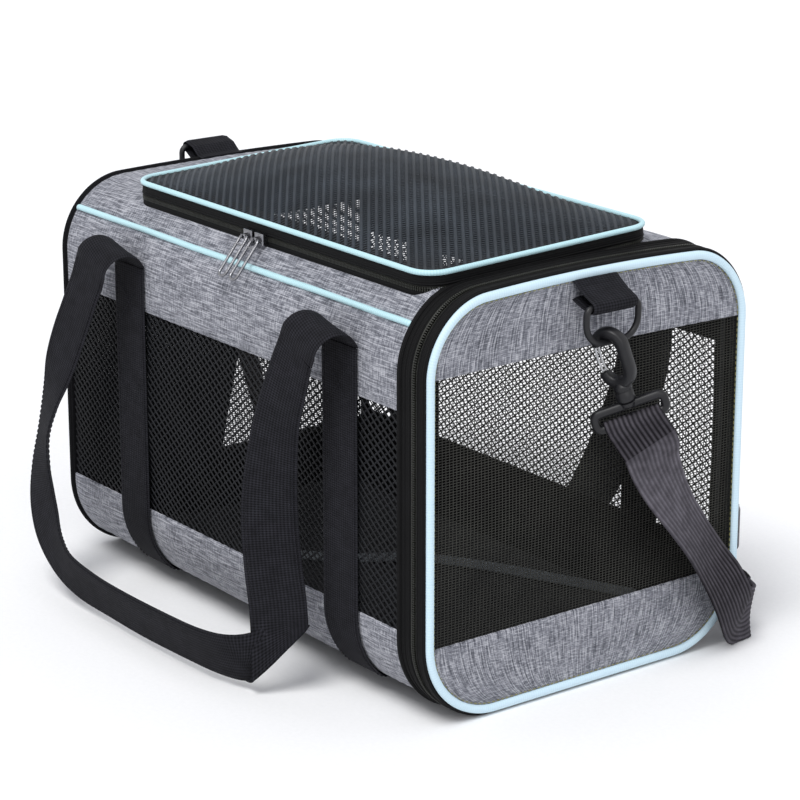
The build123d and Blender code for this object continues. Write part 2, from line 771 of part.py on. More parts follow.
def rear_tab():
    # A webbing loop standing on the rear top edge.
    bar = Vector(*rear_tab_bar)
    y = Vector(0, 1, 0)
    bend = ring_bar / 2 + fit_round + webbing / 2
    skin = webbing / 2 + 0.05
    points = [Vector(rear_x + 6.0, 0, bag_height + skin)]
    points += [Vector(rear_x + 1.0, 0, bag_height + skin + 1.0)]
    points += around(bar, bend, 60, 270)
    points += [Vector(rear_x - skin - 2.0, 0, bag_height - 1.0)]
    points += [Vector(rear_x - skin, 0, bag_height - drop) for drop in (6.0, 18.0)]
    return ribbon(points, [y] * len(points), tab_width, webbing)


def make_carry_gear():
    export("rear_tab", rear_tab())
    for name, frame, bar in (("front", front_frame, tab_bar), ("rear", rear_frame, rear_tab_bar)):
        export(name + "_ring", ring(bar))
        export(name + "_snap_hook", hook(frame))
        export(name + "_hook_gate", gate(frame))
        export(name + "_strap_eye", eye(frame))
    export("shoulder_strap_front", strap_with_fold(front_frame, front_strap_route()))
    export("shoulder_strap_rear", strap_with_fold(rear_frame, rear_strap_route()))
    export("shoulder_strap_middle", strap(floor_strap_route(), handle_width, webbing))
    export("strap_adjuster", adjuster())


# ---------------------------------------------------------------- zipper sliders


def slider(plane):
    # Local X runs along the zipper and local Z out of it.
    length, width, height = slider_length, slider_width, slider_height
    body = Pos(0, 0, height / 2) * Box(length, width, height)
    body = fillet(body.edges().group_by(Axis.Z)[-1], 1.2)
    reach = pull_eye_width / 2 + fit
    lug_height = pin_height + lug_width / 2
    for side in (-1, 1):
        lug = Box(lug_thickness, lug_width, lug_height)
        body += Pos(side * (reach + lug_thickness / 2), 0, height + lug_height / 2) * lug
    pin = Rot(0, 90, 0) * Cylinder(pin_diameter / 2, 2 * (reach + lug_thickness))
    body += Pos(0, 0, height + pin_height) * pin
    return plane.location * body


def pull(origin, hang, across):
    # An open frame pull that hangs from its pin along the direction hang.
    down = Vector(*hang).normalized()
    plane = Plane(origin, x_dir=across, z_dir=Vector(*across).cross(down * -1))
    neck = pull_eye / 2 + 0.6
    frame = Pos(0, -neck - pull_length / 2) * RectangleRounded(pull_width, pull_length, 2.0)
    window = Rectangle(pull_width - 3.2, pull_length * 0.6)
    frame -= Pos(0, -neck - pull_length / 2 - 1.5) * window
    frame += Pos(0, -neck / 2 - 0.5) * Rectangle(pull_eye_width, neck)
    plate = extrude(plane * frame, pull_thickness / 2, both=True)
    axle = Plane(origin, x_dir=down, z_dir=across).offset(-pull_eye_width / 2)
    eye_ring = extrude(axle * Circle(pull_eye / 2), pull_eye_width)
    bore = extrude(axle.offset(-1) * Circle(pin_diameter / 2 + pin_play), pull_eye_width + 2)
    return plate + eye_ring - bore


hatch_slider_x = 6.0
hatch_slider_pitch = 13.0
hatch_pull_hang = (0, -0.63, -0.777)  # the pulls lie over the bag's shoulder
door_slider_share = 0.3286  # where the door's slider rests, as a share of the bag's height


def make_sliders():
    plane = hatch_plane()
    zipper_low = -hatch_gusset_height - coil_depth - zipper_gap / 2
    depth = hatch_far - hatch_near + (coil_height - curb_cloth) / 2 + fit
    middle = (hatch_rear + hatch_front) / 2
    for k, name in ((0, "rear"), (1, "front")):
        x = hatch_slider_x + (k - 0.5) * hatch_slider_pitch
        place = plane.from_local_coords(Vector(x - middle, -depth, zipper_low))
        seat = Plane(place, x_dir=(1, 0, 0), z_dir=(0, -1, 0))
        export("hatch_slider_" + name, slider(seat))
        ear = place + Vector(0, -slider_height - pin_height, 0)
        export("hatch_pull_" + name, pull(ear, hatch_pull_hang, (1, 0, 0)))
    side = side_y + (coil_height - hoop_cloth) / 2 + fit
    place = Vector(door_coil_rear - zipper_gap / 2, side, door_slider_share * bag_height)
    seat = Plane(place, x_dir=(1, 0, 0), z_dir=(0, 1, 0))
    export("door_slider", slider(seat))
    ear = place + Vector(0, slider_height + pin_height, 0)
    export("door_pull", pull(ear, (0, 0, -1), (1, 0, 0)))


# ---------------------------------------------------------------- leash


def make_leash():
    # A short tether sewn to the lining, lying across the floor pad.
    rise = pad_high + leash_thickness / 2 + 0.05

    def flat(x, y):
        return Vector(x * front_x, y * side_y, rise)

    route = [
        (flat(-0.2791, -0.2963), Vector(0, 1, 0)),
        (flat(-0.2419, -0.2963), Vector(0, 1, 0)),
        (flat(-0.1209, -0.1185), Vector(-0.6, 0.7, 0)),
        (flat(0, 0.1481), Vector(-0.6, 0.8, 0)),
        (flat(0.186, 0.3556), Vector(-0.5, 0.85, 0)),
        (flat(0.4186, 0.5333), Vector(-0.45, 0.9, 0)),
        (flat(0.6977, 0.7259), Vector(-0.4, 0.9, 0)),
    ]
    export("safety_leash", strap(route, leash_width, leash_thickness))
    middle = flat(-0.2791, -0.2963) - Vector(leash_clip_length / 2 + 0.6, 0, leash_thickness / 2)
    shape = SlotOverall(leash_clip_length, leash_width)
    shape -= SlotOverall(leash_clip_length - 8, leash_width - 8)
    clip = extrude(Plane(middle) * shape, 3.0)
    export("leash_clip", clip)


def main():
    os.makedirs("parts", exist_ok=True)
    make_shell()
    make_floor()
    make_ends()
    make_door()
    make_hatch()
    make_handles()
    make_carry_gear()
    make_sliders()
    make_leash()


if __name__ == "__main__":
    main()
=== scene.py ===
import math
import bmesh
import bpy
import numpy as np
from mathutils import Matrix, Vector


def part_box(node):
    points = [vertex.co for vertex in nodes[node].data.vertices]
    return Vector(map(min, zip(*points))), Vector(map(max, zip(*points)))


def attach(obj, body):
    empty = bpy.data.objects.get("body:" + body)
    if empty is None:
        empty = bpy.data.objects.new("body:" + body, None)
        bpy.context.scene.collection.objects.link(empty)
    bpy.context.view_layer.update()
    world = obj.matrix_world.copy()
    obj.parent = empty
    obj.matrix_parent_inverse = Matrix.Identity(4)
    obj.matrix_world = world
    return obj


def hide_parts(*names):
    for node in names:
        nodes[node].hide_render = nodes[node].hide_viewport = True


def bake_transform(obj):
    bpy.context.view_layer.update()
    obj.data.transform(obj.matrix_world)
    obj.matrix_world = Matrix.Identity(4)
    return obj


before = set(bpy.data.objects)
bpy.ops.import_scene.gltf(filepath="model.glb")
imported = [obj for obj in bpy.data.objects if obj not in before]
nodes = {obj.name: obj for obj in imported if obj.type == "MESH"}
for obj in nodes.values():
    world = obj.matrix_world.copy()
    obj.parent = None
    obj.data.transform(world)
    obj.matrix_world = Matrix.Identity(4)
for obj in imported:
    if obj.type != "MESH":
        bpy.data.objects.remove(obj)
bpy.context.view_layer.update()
mm = 0.001


# ---- camera and light

camera = {
    "azimuth": 52.83, "elevation": 17.1,  # degrees, seen from the front door's near corner
    "place": (1.51674, -1.14141, 0.72814),
    "lens": 126.5, "sensor": 36.0,
}


def addCamera():
    az, el = math.radians(camera["azimuth"]), math.radians(camera["elevation"])
    back = Vector((math.sin(az) * math.cos(el), -math.cos(az) * math.cos(el), math.sin(el)))
    right = Vector((math.cos(az), math.sin(az), 0))
    up = back.cross(right)
    data = bpy.data.cameras.new("studioCamera")
    data.lens, data.sensor_width = camera["lens"], camera["sensor"]
    data.clip_start, data.clip_end = 0.05, 60
    item = bpy.data.objects.new("studioCamera", data)
    turn = Matrix((right, up, back)).transposed().to_4x4()
    item.matrix_world = Matrix.Translation(camera["place"]) @ turn
    bpy.context.scene.collection.objects.link(item)
    bpy.context.scene.camera = item


addCamera()
print("camera is placed")


# ---- node helpers

def toLinear(code):
    # '#rrggbb' in sRGB to linear RGBA
    parts = np.array([int(code[k:k + 2], 16) / 255 for k in (1, 3, 5)])
    linear = np.where(parts <= 0.04045, parts / 12.92, ((parts + 0.055) / 1.055) ** 2.4)
    return (*[float(v) for v in linear], 1.0)


def addNode(tree, kind, inputs=None, stops=None, **settings):
    # one node: its settings, its colour stops, and values or links for its inputs
    node = tree.nodes.new(kind)
    for key, value in settings.items():
        setattr(node, key, value)
    if stops:
        ramp = node.color_ramp
        while len(ramp.elements) < len(stops):
            ramp.elements.new(0.5)
        for element, (place, code) in zip(ramp.elements, stops):
            element.position, element.color = place, toLinear(code)
    for key, value in (inputs or {}).items():
        if isinstance(value, bpy.types.NodeSocket):
            tree.links.new(value, node.inputs[key])
        elif isinstance(value, str):
            node.inputs[key].default_value = toLinear(value)
        else:
            node.inputs[key].default_value = value
    return node


def newMaterial(name, **shader):
    # one surface shader with these values, joined to the output
    material = bpy.data.materials.new(name)
    material.use_nodes = True
    tree = material.node_tree
    tree.nodes.clear()
    inputs = {key.replace("_", " "): value for key, value in shader.items()}
    surface = addNode(tree, "ShaderNodeBsdfPrincipled", inputs)
    addNode(tree, "ShaderNodeOutputMaterial", {"Surface": surface.outputs[0]})
    return material, tree, surface


def laid(tree, space, size, turn=0.0):
    # where a pattern lies: one unit of it is 'size' mm in the cloth's UV or in the piece's own space
    spot = addNode(tree, "ShaderNodeTexCoord").outputs[space]
    scale = tuple(1 / (length * mm) for length in size)
    inputs = {"Vector": spot, "Rotation": (0, 0, turn), "Scale": scale}
    return addNode(tree, "ShaderNodeMapping", inputs).outputs[0]


def mottle(tree, size, detail, roughness=0.5):
    # cloudy blotches: one to every 'size' mm of the piece, or to every (along, across) mm of the cloth
    place = laid(tree, "Object", (size,) * 3) if np.isscalar(size) else laid(tree, "UV", (*size, 1000))
    inputs = {"Vector": place, "Scale": 1.0, "Detail": detail, "Roughness": roughness}
    return addNode(tree, "ShaderNodeTexNoise", inputs).outputs["Fac"]


def threads(tree, size, direction, turn=0.0):
    # fine ridges in the cloth, one to every 'size' mm across them, a little uneven as spun yarn is
    place = laid(tree, "UV", (*size, 1000), turn)
    inputs = {"Vector": place, "Scale": math.tau / 20, "Distortion": 0.6, "Detail": 1.0, "Detail Scale": 0.6}
    ridges = addNode(tree, "ShaderNodeTexWave", inputs, wave_type="BANDS", bands_direction=direction)
    return ridges.outputs["Fac"]


def crossed(tree, *patterns):
    # the first pattern, seen only as far as the others are
    shown = patterns[0]
    for other in patterns[1:]:
        shown = addNode(tree, "ShaderNodeMath", {0: shown, 1: other}, operation="MULTIPLY").outputs[0]
    return shown


def summed(tree, *parts):
    # patterns added up, each with its own share
    total = 0.0
    for pattern, share in parts:
        inputs = {0: pattern, 1: share, 2: total}
        total = addNode(tree, "ShaderNodeMath", inputs, operation="MULTIPLY_ADD").outputs[0]
    return total


def dress(tree, surface, patterns, dark, light, height, depth, strength):
    # colour from dark to light where all the patterns are high, and a bump of up to 'depth' mm with 'height'
    share = crossed(tree, *patterns)
    blend = addNode(tree, "ShaderNodeMix", {0: share, 6: dark, 7: light}, data_type="RGBA")
    tree.links.new(blend.outputs[2], surface.inputs["Base Color"])
    bump = addNode(tree, "ShaderNodeBump", {"Height": height, "Distance": depth * mm, "Strength": strength})
    tree.links.new(bump.outputs[0], surface.inputs["Normal"])
    return blend.outputs[2]


def roughened(tree, surface, wear, low, high):
    # dull where handled: the roughness runs from low to high with the wear
    span = addNode(tree, "ShaderNodeMapRange", {"Value": wear, 3: low, 4: high})
    tree.links.new(span.outputs[0], surface.inputs["Roughness"])


# ---- finishes

melange = {
    "dark": "#585a62", "middle": "#92949c", "light": "#d8d9de", "stops": (0.39, 0.48, 0.59),
    "streak": 16.0, "thread": 1.15, "fleck": 6.0, "cloud": (60, 35),  # mm
    "shares": (0.55, 0.37, 0.08),  # of streaks, flecks and clouds
    "float": 40,  # mm that a thread is seen for
    "gap": "#c4c4c8",  # painted shade between two threads: how dark the cloth is drawn there
}


def heatherCloth(name):
    # polyester canvas of mixed grey yarns: long streaks along the weft and short flecks across it;
    # the yarns are drawn about twice as coarse as they are, so that they show
    material, tree, surface = newMaterial(
        name, Roughness=0.9, Specular_IOR_Level=0.25, Sheen_Weight=0.15, Sheen_Roughness=0.5)
    thread = melange["thread"]
    streak = mottle(tree, (melange["streak"], thread), 3, 0.6)
    fleck = mottle(tree, (thread, melange["fleck"]), 3, 0.6)
    cloud = mottle(tree, melange["cloud"], 2)
    weft = threads(tree, (melange["float"], thread), "Y")
    weave = crossed(tree, weft, threads(tree, (thread, melange["float"]), "X"))
    stops = list(zip(melange["stops"], (melange["dark"], melange["middle"], melange["light"])))
    mixture = summed(tree, *zip((streak, fleck, cloud), melange["shares"]))
    colour = addNode(tree, "ShaderNodeValToRGB", {"Fac": mixture}, stops=stops)
    height = summed(tree, (streak, 0.8), (weave, 1.0))
    # painted shade: the weave darkens the cloth between its threads, where shade falls, and the melange
    # colour is multiplied by it
    shade = dress(tree, surface, [weave], melange["gap"], "#ffffff", height, 0.35, 0.7)
    inputs = {0: 1.0, 6: colour.outputs[0], 7: shade}
    toned = addNode(tree, "ShaderNodeMix", inputs, data_type="RGBA", blend_type="MULTIPLY")
    tree.links.new(toned.outputs[2], surface.inputs["Base Color"])
    return material


def wovenCloth(name, dark, light, along, across, roughness=0.8):
    # plain polyester weave, one thread every 'along' by 'across' mm, as coarse as it needs to show; its
    # ridges are painted lighter as lit and the gaps between them darker as shade
    material, tree, surface = newMaterial(name, Roughness=roughness, Specular_IOR_Level=0.1)
    weft = threads(tree, (60, across), "Y")
    weave = crossed(tree, weft, threads(tree, (along, 60), "X"))
    # painted light and shade: the weave's ridges take the light colour and its gaps the dark one; the
    # blotches vary the tone at random
    dress(tree, surface, [weave, mottle(tree, 28, 5, 0.6)], dark, light, weave, 0.25, 0.8)
    return material


def netYarn(name, dark, light):
    # knitted polyester monofilament: dark, with a faint silky gleam on the crowns of the yarns, painted in as
    # a lighter colour
    material, tree, surface = newMaterial(name, Roughness=0.6, Specular_IOR_Level=0.18)
    twistAndGleam = mottle(tree, 0.9, 2)
    # painted highlight: the lighter colour stands for the gleam where both mottles are high, and the fine
    # mottle also raises the bump
    dress(tree, surface, [twistAndGleam, mottle(tree, 40, 2)], dark, light, twistAndGleam, 0.12, 0.6)
    return material


def satinPiping(name, light, shade):
    # polyester satin bias tape folded over a cord: fine slanting threads and a soft gleam
    material, tree, surface = newMaterial(
        name, Roughness=0.48, Specular_IOR_Level=0.4, Sheen_Weight=0.1, Sheen_Roughness=0.4)
    twill = threads(tree, (1.4, 30), "X", turn=0.7)
    dress(tree, surface, [twill, mottle(tree, 22, 4)], light, shade, twill, 0.05, 0.3)
    return material


def webbingFinish(name, dark, light, ribAlong, ribAcross):
    # woven polyester strap: weft ribs every ribAlong mm of its length, crossed by cords every ribAcross mm;
    # the crowns of ribs and cords are painted lighter as lit and the grooves darker as shade
    material, tree, surface = newMaterial(name, Roughness=0.8, Specular_IOR_Level=0.1)
    weft = threads(tree, (ribAlong, 60), "X")
    weave = summed(tree, (weft, 0.55), (threads(tree, (60, ribAcross), "Y"), 0.45))
    # painted light and shade: grooves between ribs and cords take the dark colour and their crowns the light
    # one; the blotches vary the tone at random
    dress(tree, surface, [weave, mottle(tree, 9, 6, 0.7)], dark, light, weave, 0.3, 0.9)
    return material


def mouldedPlastic(name, dark, light):
    # acetal, injection moulded with a fine spark-eroded grain
    material, tree, surface = newMaterial(name, Roughness=0.38, Specular_IOR_Level=0.35)
    wear = mottle(tree, 11, 5, 0.65)
    dress(tree, surface, [wear], dark, light, mottle(tree, 0.5, 2), 0.05, 0.4)
    roughened(tree, surface, wear, 0.3, 0.52)
    return material


def plated(name, dark, light, roughness):
    # nickel or gunmetal plating on die-cast zinc, and bright spring steel: duller where fingers rub it
    material, tree, surface = newMaterial(name, Metallic=1.0, Roughness=roughness)
    wear = mottle(tree, 3.5, 6, 0.7)
    dress(tree, surface, [wear], dark, light, wear, 0.05, 0.3)
    roughened(tree, surface, wear, roughness * 0.7, roughness * 1.6)
    return material


def fleeceFinish(name, dark, light):
    # short-pile polyester fleece: soft clumps a few mm across and no gleam
    material, tree, surface = newMaterial(
        name, Roughness=0.95, Specular_IOR_Level=0.15, Sheen_Weight=0.05, Sheen_Roughness=0.6)
    clump = mottle(tree, 4, 7, 0.75)
    dress(tree, surface, [clump], dark, light, clump, 1.2, 0.9)
    return material


def sleeveFinish(name, dark, light):
    # woven sleeve for pieces without their own threads: soft mottling in real size
    material, tree, surface = newMaterial(name, Roughness=0.75, Specular_IOR_Level=0.3)
    fine = mottle(tree, 1.2, 4)
    dress(tree, surface, [fine], dark, light, fine, 0.2, 0.6)
    return material


finish = {
    "heather": heatherCloth("heatherCanvas"),
    "lining": wovenCloth("blackLining", "#0b0b0d", "#1b1c20", 0.9, 0.9),
    "blackCloth": wovenCloth("blackOxford", "#0c0c0e", "#222327", 1.2, 1.2),
    "tape": wovenCloth("zipperTape", "#0b0b0c", "#262627", 0.9, 1.6, 0.7),
    "net": netYarn("sideNetYarn", "#08090c", "#1e2026"),
    "doorNet": netYarn("doorNetYarn", "#1c1c1b", "#55554f"),
    "hatchNet": netYarn("hatchNetYarn", "#0c0e12", "#59626c"),
    "piping": satinPiping("aquaPiping", "#bfe2e8", "#a8d2da"),
    "bluePiping": satinPiping("iceBluePiping", "#cfe6f1", "#c0dcea"),
    "webbing": webbingFinish("blackWebbing", "#08080a", "#3a3a41", 1.6, 2.4),
    "strap": webbingFinish("charcoalWebbing", "#151317", "#85818a", 200, 38 / 12),  # ribbed lengthwise only; its cords run at the same pitch as the strap's ribs, so the grooves between them are painted darker as shade
    "leash": webbingFinish("slateWebbing", "#55595d", "#a0a6aa", 1.3, 2.0),
    "plastic": mouldedPlastic("blackAcetal", "#0b0b0d", "#1f1f23"),
    "nylon": mouldedPlastic("zipperNylon", "#131411", "#33342f"),
    "chrome": plated("darkNickel", "#4a4a4e", "#a9a9ae", 0.2),
    "gunmetal": plated("gunmetalPlate", "#48484c", "#8a8a8e", 0.26),
    "steel": plated("springSteel", "#9a9b9f", "#dcdde0", 0.25),
    "fleece": fleeceFinish("charcoalFleece", "#0e0f11", "#212226"),
    "board": sleeveFinish("boardWrap", "#1c1d20", "#44454a"),
    "sleeve": sleeveFinish("wireSleeve", "#141416", "#3a3a3c"),
    "greyThread": wovenCloth("greyThread", "#83858c", "#c9cacf", 0.5, 0.5),
    "blackThread": wovenCloth("blackThread", "#1c1c20", "#4c4c52", 0.5, 0.5),
    "strawThread": wovenCloth("strawThread", "#8f8d5c", "#d8d4a0", 0.5, 0.5),
}
print("finishes are ready:", len(finish))


# ---- mesh helpers

pressed = {"above": 0.3, "left": 0.04}  # mm above the floor, and how much of what is lower stays


class Stitchery:
    # gathers closed tubes of quads, each given as rings of points, into one mesh

    def __init__(self):
        self.points, self.quads, self.uvs, self.kinds = [], [], [], []
        self.count = 0

    def tubes(self, rings, loop=False, along=None, around=None, kinds=None, flatUv=None):
        # rings: tubes x stations x ring points x 3, in mm; loop joins the last station to the first
        rings = np.asarray(rings, float)
        if rings.ndim == 3:
            rings = rings[None]
        many, stations, ring = rings.shape[:3]
        if along is None:
            middle = rings.mean(axis=2)
            step = np.linalg.norm(np.diff(middle, axis=1, append=middle[:, :1]), axis=2)
            along = np.concatenate([np.zeros((many, 1)), np.cumsum(step, axis=1)], axis=1)
        else:
            along = np.broadcast_to(np.append(along, 2 * along[-1] - along[-2]), (many, stations + 1))
        if around is None:
            step = np.linalg.norm(np.diff(rings[:, 0], axis=1, append=rings[:, 0, :1]), axis=2)
            around = np.concatenate([[0], np.cumsum(step.mean(axis=0))])
        else:
            around = np.append(around, around[0])
        i = np.arange(stations if loop else stations - 1)
        j = np.arange(ring)
        k = np.arange(many)
        tube, row, column = np.meshgrid(k, i, j, indexing="ij")
        tube, row, column = tube.ravel(), row.ravel(), column.ravel()
        start = self.count + tube * stations * ring
        nextRow, nextColumn = (row + 1) % stations, (column + 1) % ring
        corners = [start + row * ring + column, start + nextRow * ring + column,
                   start + nextRow * ring + nextColumn, start + row * ring + nextColumn]
        uv = np.stack([np.stack([along[tube, row + a], around[column + b]], axis=1)
                       for a, b in ((0, 0), (1, 0), (1, 1), (0, 1))], axis=1)
        if flatUv is not None:
            rows, columns = (row, nextRow, nextRow, row), (column, column, nextColumn, nextColumn)
            uv = np.stack([flatUv[a, b] for a, b in zip(rows, columns)], axis=1)
        kind = np.zeros(ring, int) if kinds is None else np.asarray(kinds)
        self.points.append(rings.reshape(-1, 3))
        self.quads.append(np.stack(corners, axis=1))
        self.uvs.append(uv)
        self.kinds.append(kind[column])
        if not loop:  # a ladder of quads shuts each end
            j = np.arange(ring // 2 - 1)
            for row, flip in ((0, False), (stations - 1, True)):
                start = self.count + (k[:, None] * stations + row) * ring
                back = start + ring - 1 - j
                ladder = np.stack([start + j, start + j + 1, back - 1, back], axis=2).reshape(-1, 4)
                side = np.stack([around[j], around[j + 1], around[j + 1], around[j]], axis=1)
                side = np.tile(side, (many, 1))
                reach = along[0, row] + np.tile([0, 0, 1.5, 1.5], (len(ladder), 1))
                self.quads.append(ladder[:, ::-1] if flip else ladder)
                self.uvs.append(np.stack([reach, side], axis=2))
                self.kinds.append(np.full(len(ladder), kind[0]))
        self.count += many * stations * ring

    def make(self, name, *finishNames, body=None, slot=None, replaces=(), sharp=50, dome=False):
        points = np.concatenate(self.points)
        if dome:
            points[:, 2] += domeLift(points)
        # cloth that would reach below the floor is pressed flat on it
        under = points[:, 2] < pressed["above"]
        points[under, 2] = pressed["above"] + (points[under, 2] - pressed["above"]) * pressed["left"]
        points = points * mm
        quads = np.concatenate(self.quads).astype(np.int32)
        mesh = bpy.data.meshes.new(name)
        mesh.vertices.add(len(points))
        mesh.vertices.foreach_set("co", points.astype(np.float32).ravel())
        mesh.loops.add(quads.size)
        mesh.loops.foreach_set("vertex_index", quads.ravel())
        mesh.polygons.add(len(quads))
        mesh.polygons.foreach_set("loop_start", np.arange(0, quads.size, 4, dtype=np.int32))
        mesh.polygons.foreach_set("material_index", np.concatenate(self.kinds).astype(np.int32))
        layer = mesh.uv_layers.new(name="cloth")
        layer.data.foreach_set("uv", (np.concatenate(self.uvs) * mm).astype(np.float32).ravel())
        mesh.update(calc_edges=True)
        for key in finishNames:
            mesh.materials.append(finish[key])
        work = bmesh.new()
        work.from_mesh(mesh)
        bmesh.ops.recalc_face_normals(work, faces=work.faces)
        work.to_mesh(mesh)
        work.free()
        mesh.polygons.foreach_set("use_smooth", np.ones(len(mesh.polygons), bool))
        mesh.set_sharp_from_angle(angle=math.radians(sharp))
        item = bpy.data.objects.new(name, mesh)
        bpy.context.scene.collection.objects.link(item)
        if body:
            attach(item, body)
        if replaces:
            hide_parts(*replaces)
        return item


def domeLift(points):
    # the bag's top stands a little proud between its shoulders: rise * (1 - (y / side)^2),
    # more at the door than at the rear, and nothing low down
    x, y, z = points.T
    share = np.clip(x / bag["length"] + 0.5, 0, 1)
    rise = bag["rearDome"] + (bag["doorDome"] - bag["rearDome"]) * share
    upper = np.clip((z - bag["domeFrom"]) / bag["domeOver"], 0, 1)
    return rise * np.clip(1 - (y / bag["side"]) ** 2, 0, 1) * upper


def unit(vectors):
    return vectors / np.maximum(np.linalg.norm(vectors, axis=-1, keepdims=True), 1e-12)


def framesAlong(path, across):
    # side and up at each station of a path, from the way its width should run
    along = unit(np.gradient(path, axis=0))
    side = unit(across - along * (across * along).sum(axis=1, keepdims=True))
    return along, side, np.cross(along, side)


def rounded(knots, steps):
    # Catmull-Rom stations between rows of numbers, the end rows kept
    knots = np.asarray(knots, float)
    padded = np.vstack([2 * knots[0] - knots[1], knots, 2 * knots[-1] - knots[-2]])
    t = (np.arange(steps) / steps)[None, :, None]
    a, b, c, d = (padded[k:len(padded) - 3 + k, None] for k in range(4))
    curve = b + (c - a) * t / 2 + (2 * a - 5 * b + 4 * c - d) * t * t / 2
    curve = curve + (3 * b - a - 3 * c + d) * t ** 3 / 2
    return np.vstack([curve.reshape(-1, knots.shape[1]), knots[-1:]])


def evenly(rows, step):
    # the same line with its stations 'step' mm apart; the first three columns are its points
    length = np.concatenate([[0], np.cumsum(np.linalg.norm(np.diff(rows[:, :3], axis=0), axis=1))])
    count = max(2, int(round(length[-1] / step)) + 1)
    at = np.linspace(0, length[-1], count)
    return np.stack([np.interp(at, length, rows[:, k]) for k in range(rows.shape[1])], axis=1)


def flatRing(width, thickness, ribs=0, ribDepth=0.0):
    # a strap's cross-section: a flat oval, or with lengthwise ribs, as a raised cosine to each rib
    count = max(9, ribs * 6 + 1)
    x = np.linspace(-1, 1, count)
    x = np.sign(x) * (1 - (1 - np.abs(x)) ** 1.25) if not ribs else x
    edge = np.clip((1 - np.abs(x)) * width / thickness, 0, 1)
    lift = thickness / 2 * np.sqrt(1 - (1 - edge) ** 2) + 0.05
    if ribs:
        lift = lift - ribDepth * (0.5 + 0.5 * np.cos(np.pi * (x + 1) * ribs)) * (edge > 0.9)
    top = np.stack([x * width / 2, lift], axis=1)
    bottom = np.stack([x * width / 2, -lift], axis=1)[::-1]
    return np.vstack([top, bottom])


def sweep(work, path, side, up, ring, loop=False, flat=False):
    # carries a profile along a path: point = path + side * across + up * rise;
    # flat counts the UV round the profile by the width alone, so that the ribs are spaced evenly
    ring = np.asarray(ring, float)
    around = None
    if flat:
        half = len(ring) // 2
        around = np.concatenate([ring[:half, 0], 2 * ring[half - 1, 0] - ring[half:, 0]]) - ring[0, 0]
    if ring.ndim == 2:
        ring = np.broadcast_to(ring, (len(path), *ring.shape))
    rings = path[:, None] + side[:, None] * ring[..., :1] + up[:, None] * ring[..., 1:]
    work.tubes(rings, loop=loop, around=around)


def waves(a, b, length, seed):
    # soft unevenness from -1 to 1: six sines of random slant, each about 'length' mm long
    rng = np.random.default_rng(seed)
    slants, stretches, phases = (rng.uniform(*span, 6) for span in ((0, math.pi), (0.7, 1.6), (0, math.tau)))
    total = 0
    for slant, stretch, phase in zip(slants, stretches, phases):
        way = a * math.cos(slant) + b * math.sin(slant)
        total = total + np.sin(way * math.tau / (length * stretch) + phase)
    return total / 3.2


lip = 1.2  # mm over which a cloth's cut edge is rolled


def spread(low, high, step):
    # evenly spaced numbers, with extra ones close to both ends for a rolled edge
    inner = np.linspace(low + lip, high - lip, max(2, int((high - low) / step)))
    first = [low, low + lip * 0.25, low + lip * 0.55]
    last = [high - lip * 0.55, high - lip * 0.25, high]
    return np.concatenate([first, inner, last])


def rolled(inside):
    # thickness share: a quarter circle over the last 'lip' mm before an edge
    return np.sqrt(np.clip(1 - (1 - np.clip(inside / lip, 0, 1)) ** 2, 0.06, 1))


def clothPanel(work, a, b, surface, relief, thickness):
    # a padded sheet over surface(a, b) -> points, normals; relief(a, b) is the height of its face
    gridA, gridB = np.meshgrid(a, b, indexing="ij")
    points, normals = surface(gridA, gridB)
    shareA, shareB = (rolled(np.minimum(c - c[0], c[-1] - c)) for c in (a, b))
    share = shareA[:, None] * shareB[None, :]
    face = relief(gridA, gridB)
    middle = face - thickness / 2
    top = points + normals * (middle + thickness / 2 * share)[..., None]
    bottom = points + normals * (middle - thickness / 2 * share)[..., None]
    rings = np.concatenate([top, bottom[:, ::-1]], axis=1)
    kinds = np.concatenate([np.zeros(len(b), int), np.ones(len(b), int)])
    work.tubes(rings, along=a, around=np.concatenate([b, b[::-1]]), kinds=kinds)


stitches = {
    # length, gap, width and rise of a stitch in mm
    "hem": (2.4, 1.0, 0.7, 0.35), "trim": (2.6, 1.2, 0.6, 0.4), "edge": (2.6, 1.1, 0.75, 0.4),
    "cross": (2.6, 1.0, 0.75, 0.4), "strap": (2.7, 1.0, 0.8, 0.45),
}


def stitchRow(work, path, up, kind):
    # a row of thread stitches along a path: each a small grain, pointed at both ends, lying on the cloth
    length, gap, width, rise = stitches[kind]
    rows = np.hstack([path, up])
    total = np.linalg.norm(np.diff(path, axis=0), axis=1).sum()
    count = int(total / (length + gap))
    if count < 1:
        return
    distance = np.concatenate([[0], np.cumsum(np.linalg.norm(np.diff(path, axis=0), axis=1))])
    starts = np.arange(count) * (length + gap) + gap / 2
    at = starts[:, None] + np.array([0, 0.25, 0.75, 1])[None] * length
    fine = np.stack([np.interp(at, distance, rows[:, k]) for k in range(6)], axis=-1)
    points, normal = fine[..., :3], unit(fine[..., 3:])
    along = unit(np.gradient(points, axis=1))
    side = np.cross(along, normal)
    size = np.array([0.3, 1, 1, 0.3])[None, :, None, None]
    ring = np.array([(-1, 0), (0, 1), (1, 0), (0, -1)])
    side, normal = side[:, :, None], normal[:, :, None]
    offset = side * ring[:, :1] * width / 2 + normal * ring[:, 1:] * rise
    work.tubes(points[:, :, None] + offset * size + normal * rise * 0.25)


def netting(work, starts, ends, surface, width, thickness, samples, lift):
    # straight yarns from (a, b) to (a, b) of a panel, each a four-sided strip laid on surface(a, b)
    t = np.linspace(0, 1, samples)[None, :, None]
    flat = starts[:, None] * (1 - t) + ends[:, None] * t
    points, normal = surface(flat[..., 0], flat[..., 1])
    points = points + normal * lift
    along = unit(np.gradient(points, axis=1))
    side = np.cross(normal, along)
    ring = np.array([(-1, -0.4), (-0.6, 1), (0.6, 1), (1, -0.4)])
    offset = side[:, :, None] * ring[:, :1] * width / 2
    offset = offset + normal[:, :, None] * ring[:, 1:] * thickness / 2
    work.tubes(points[:, :, None] + offset)


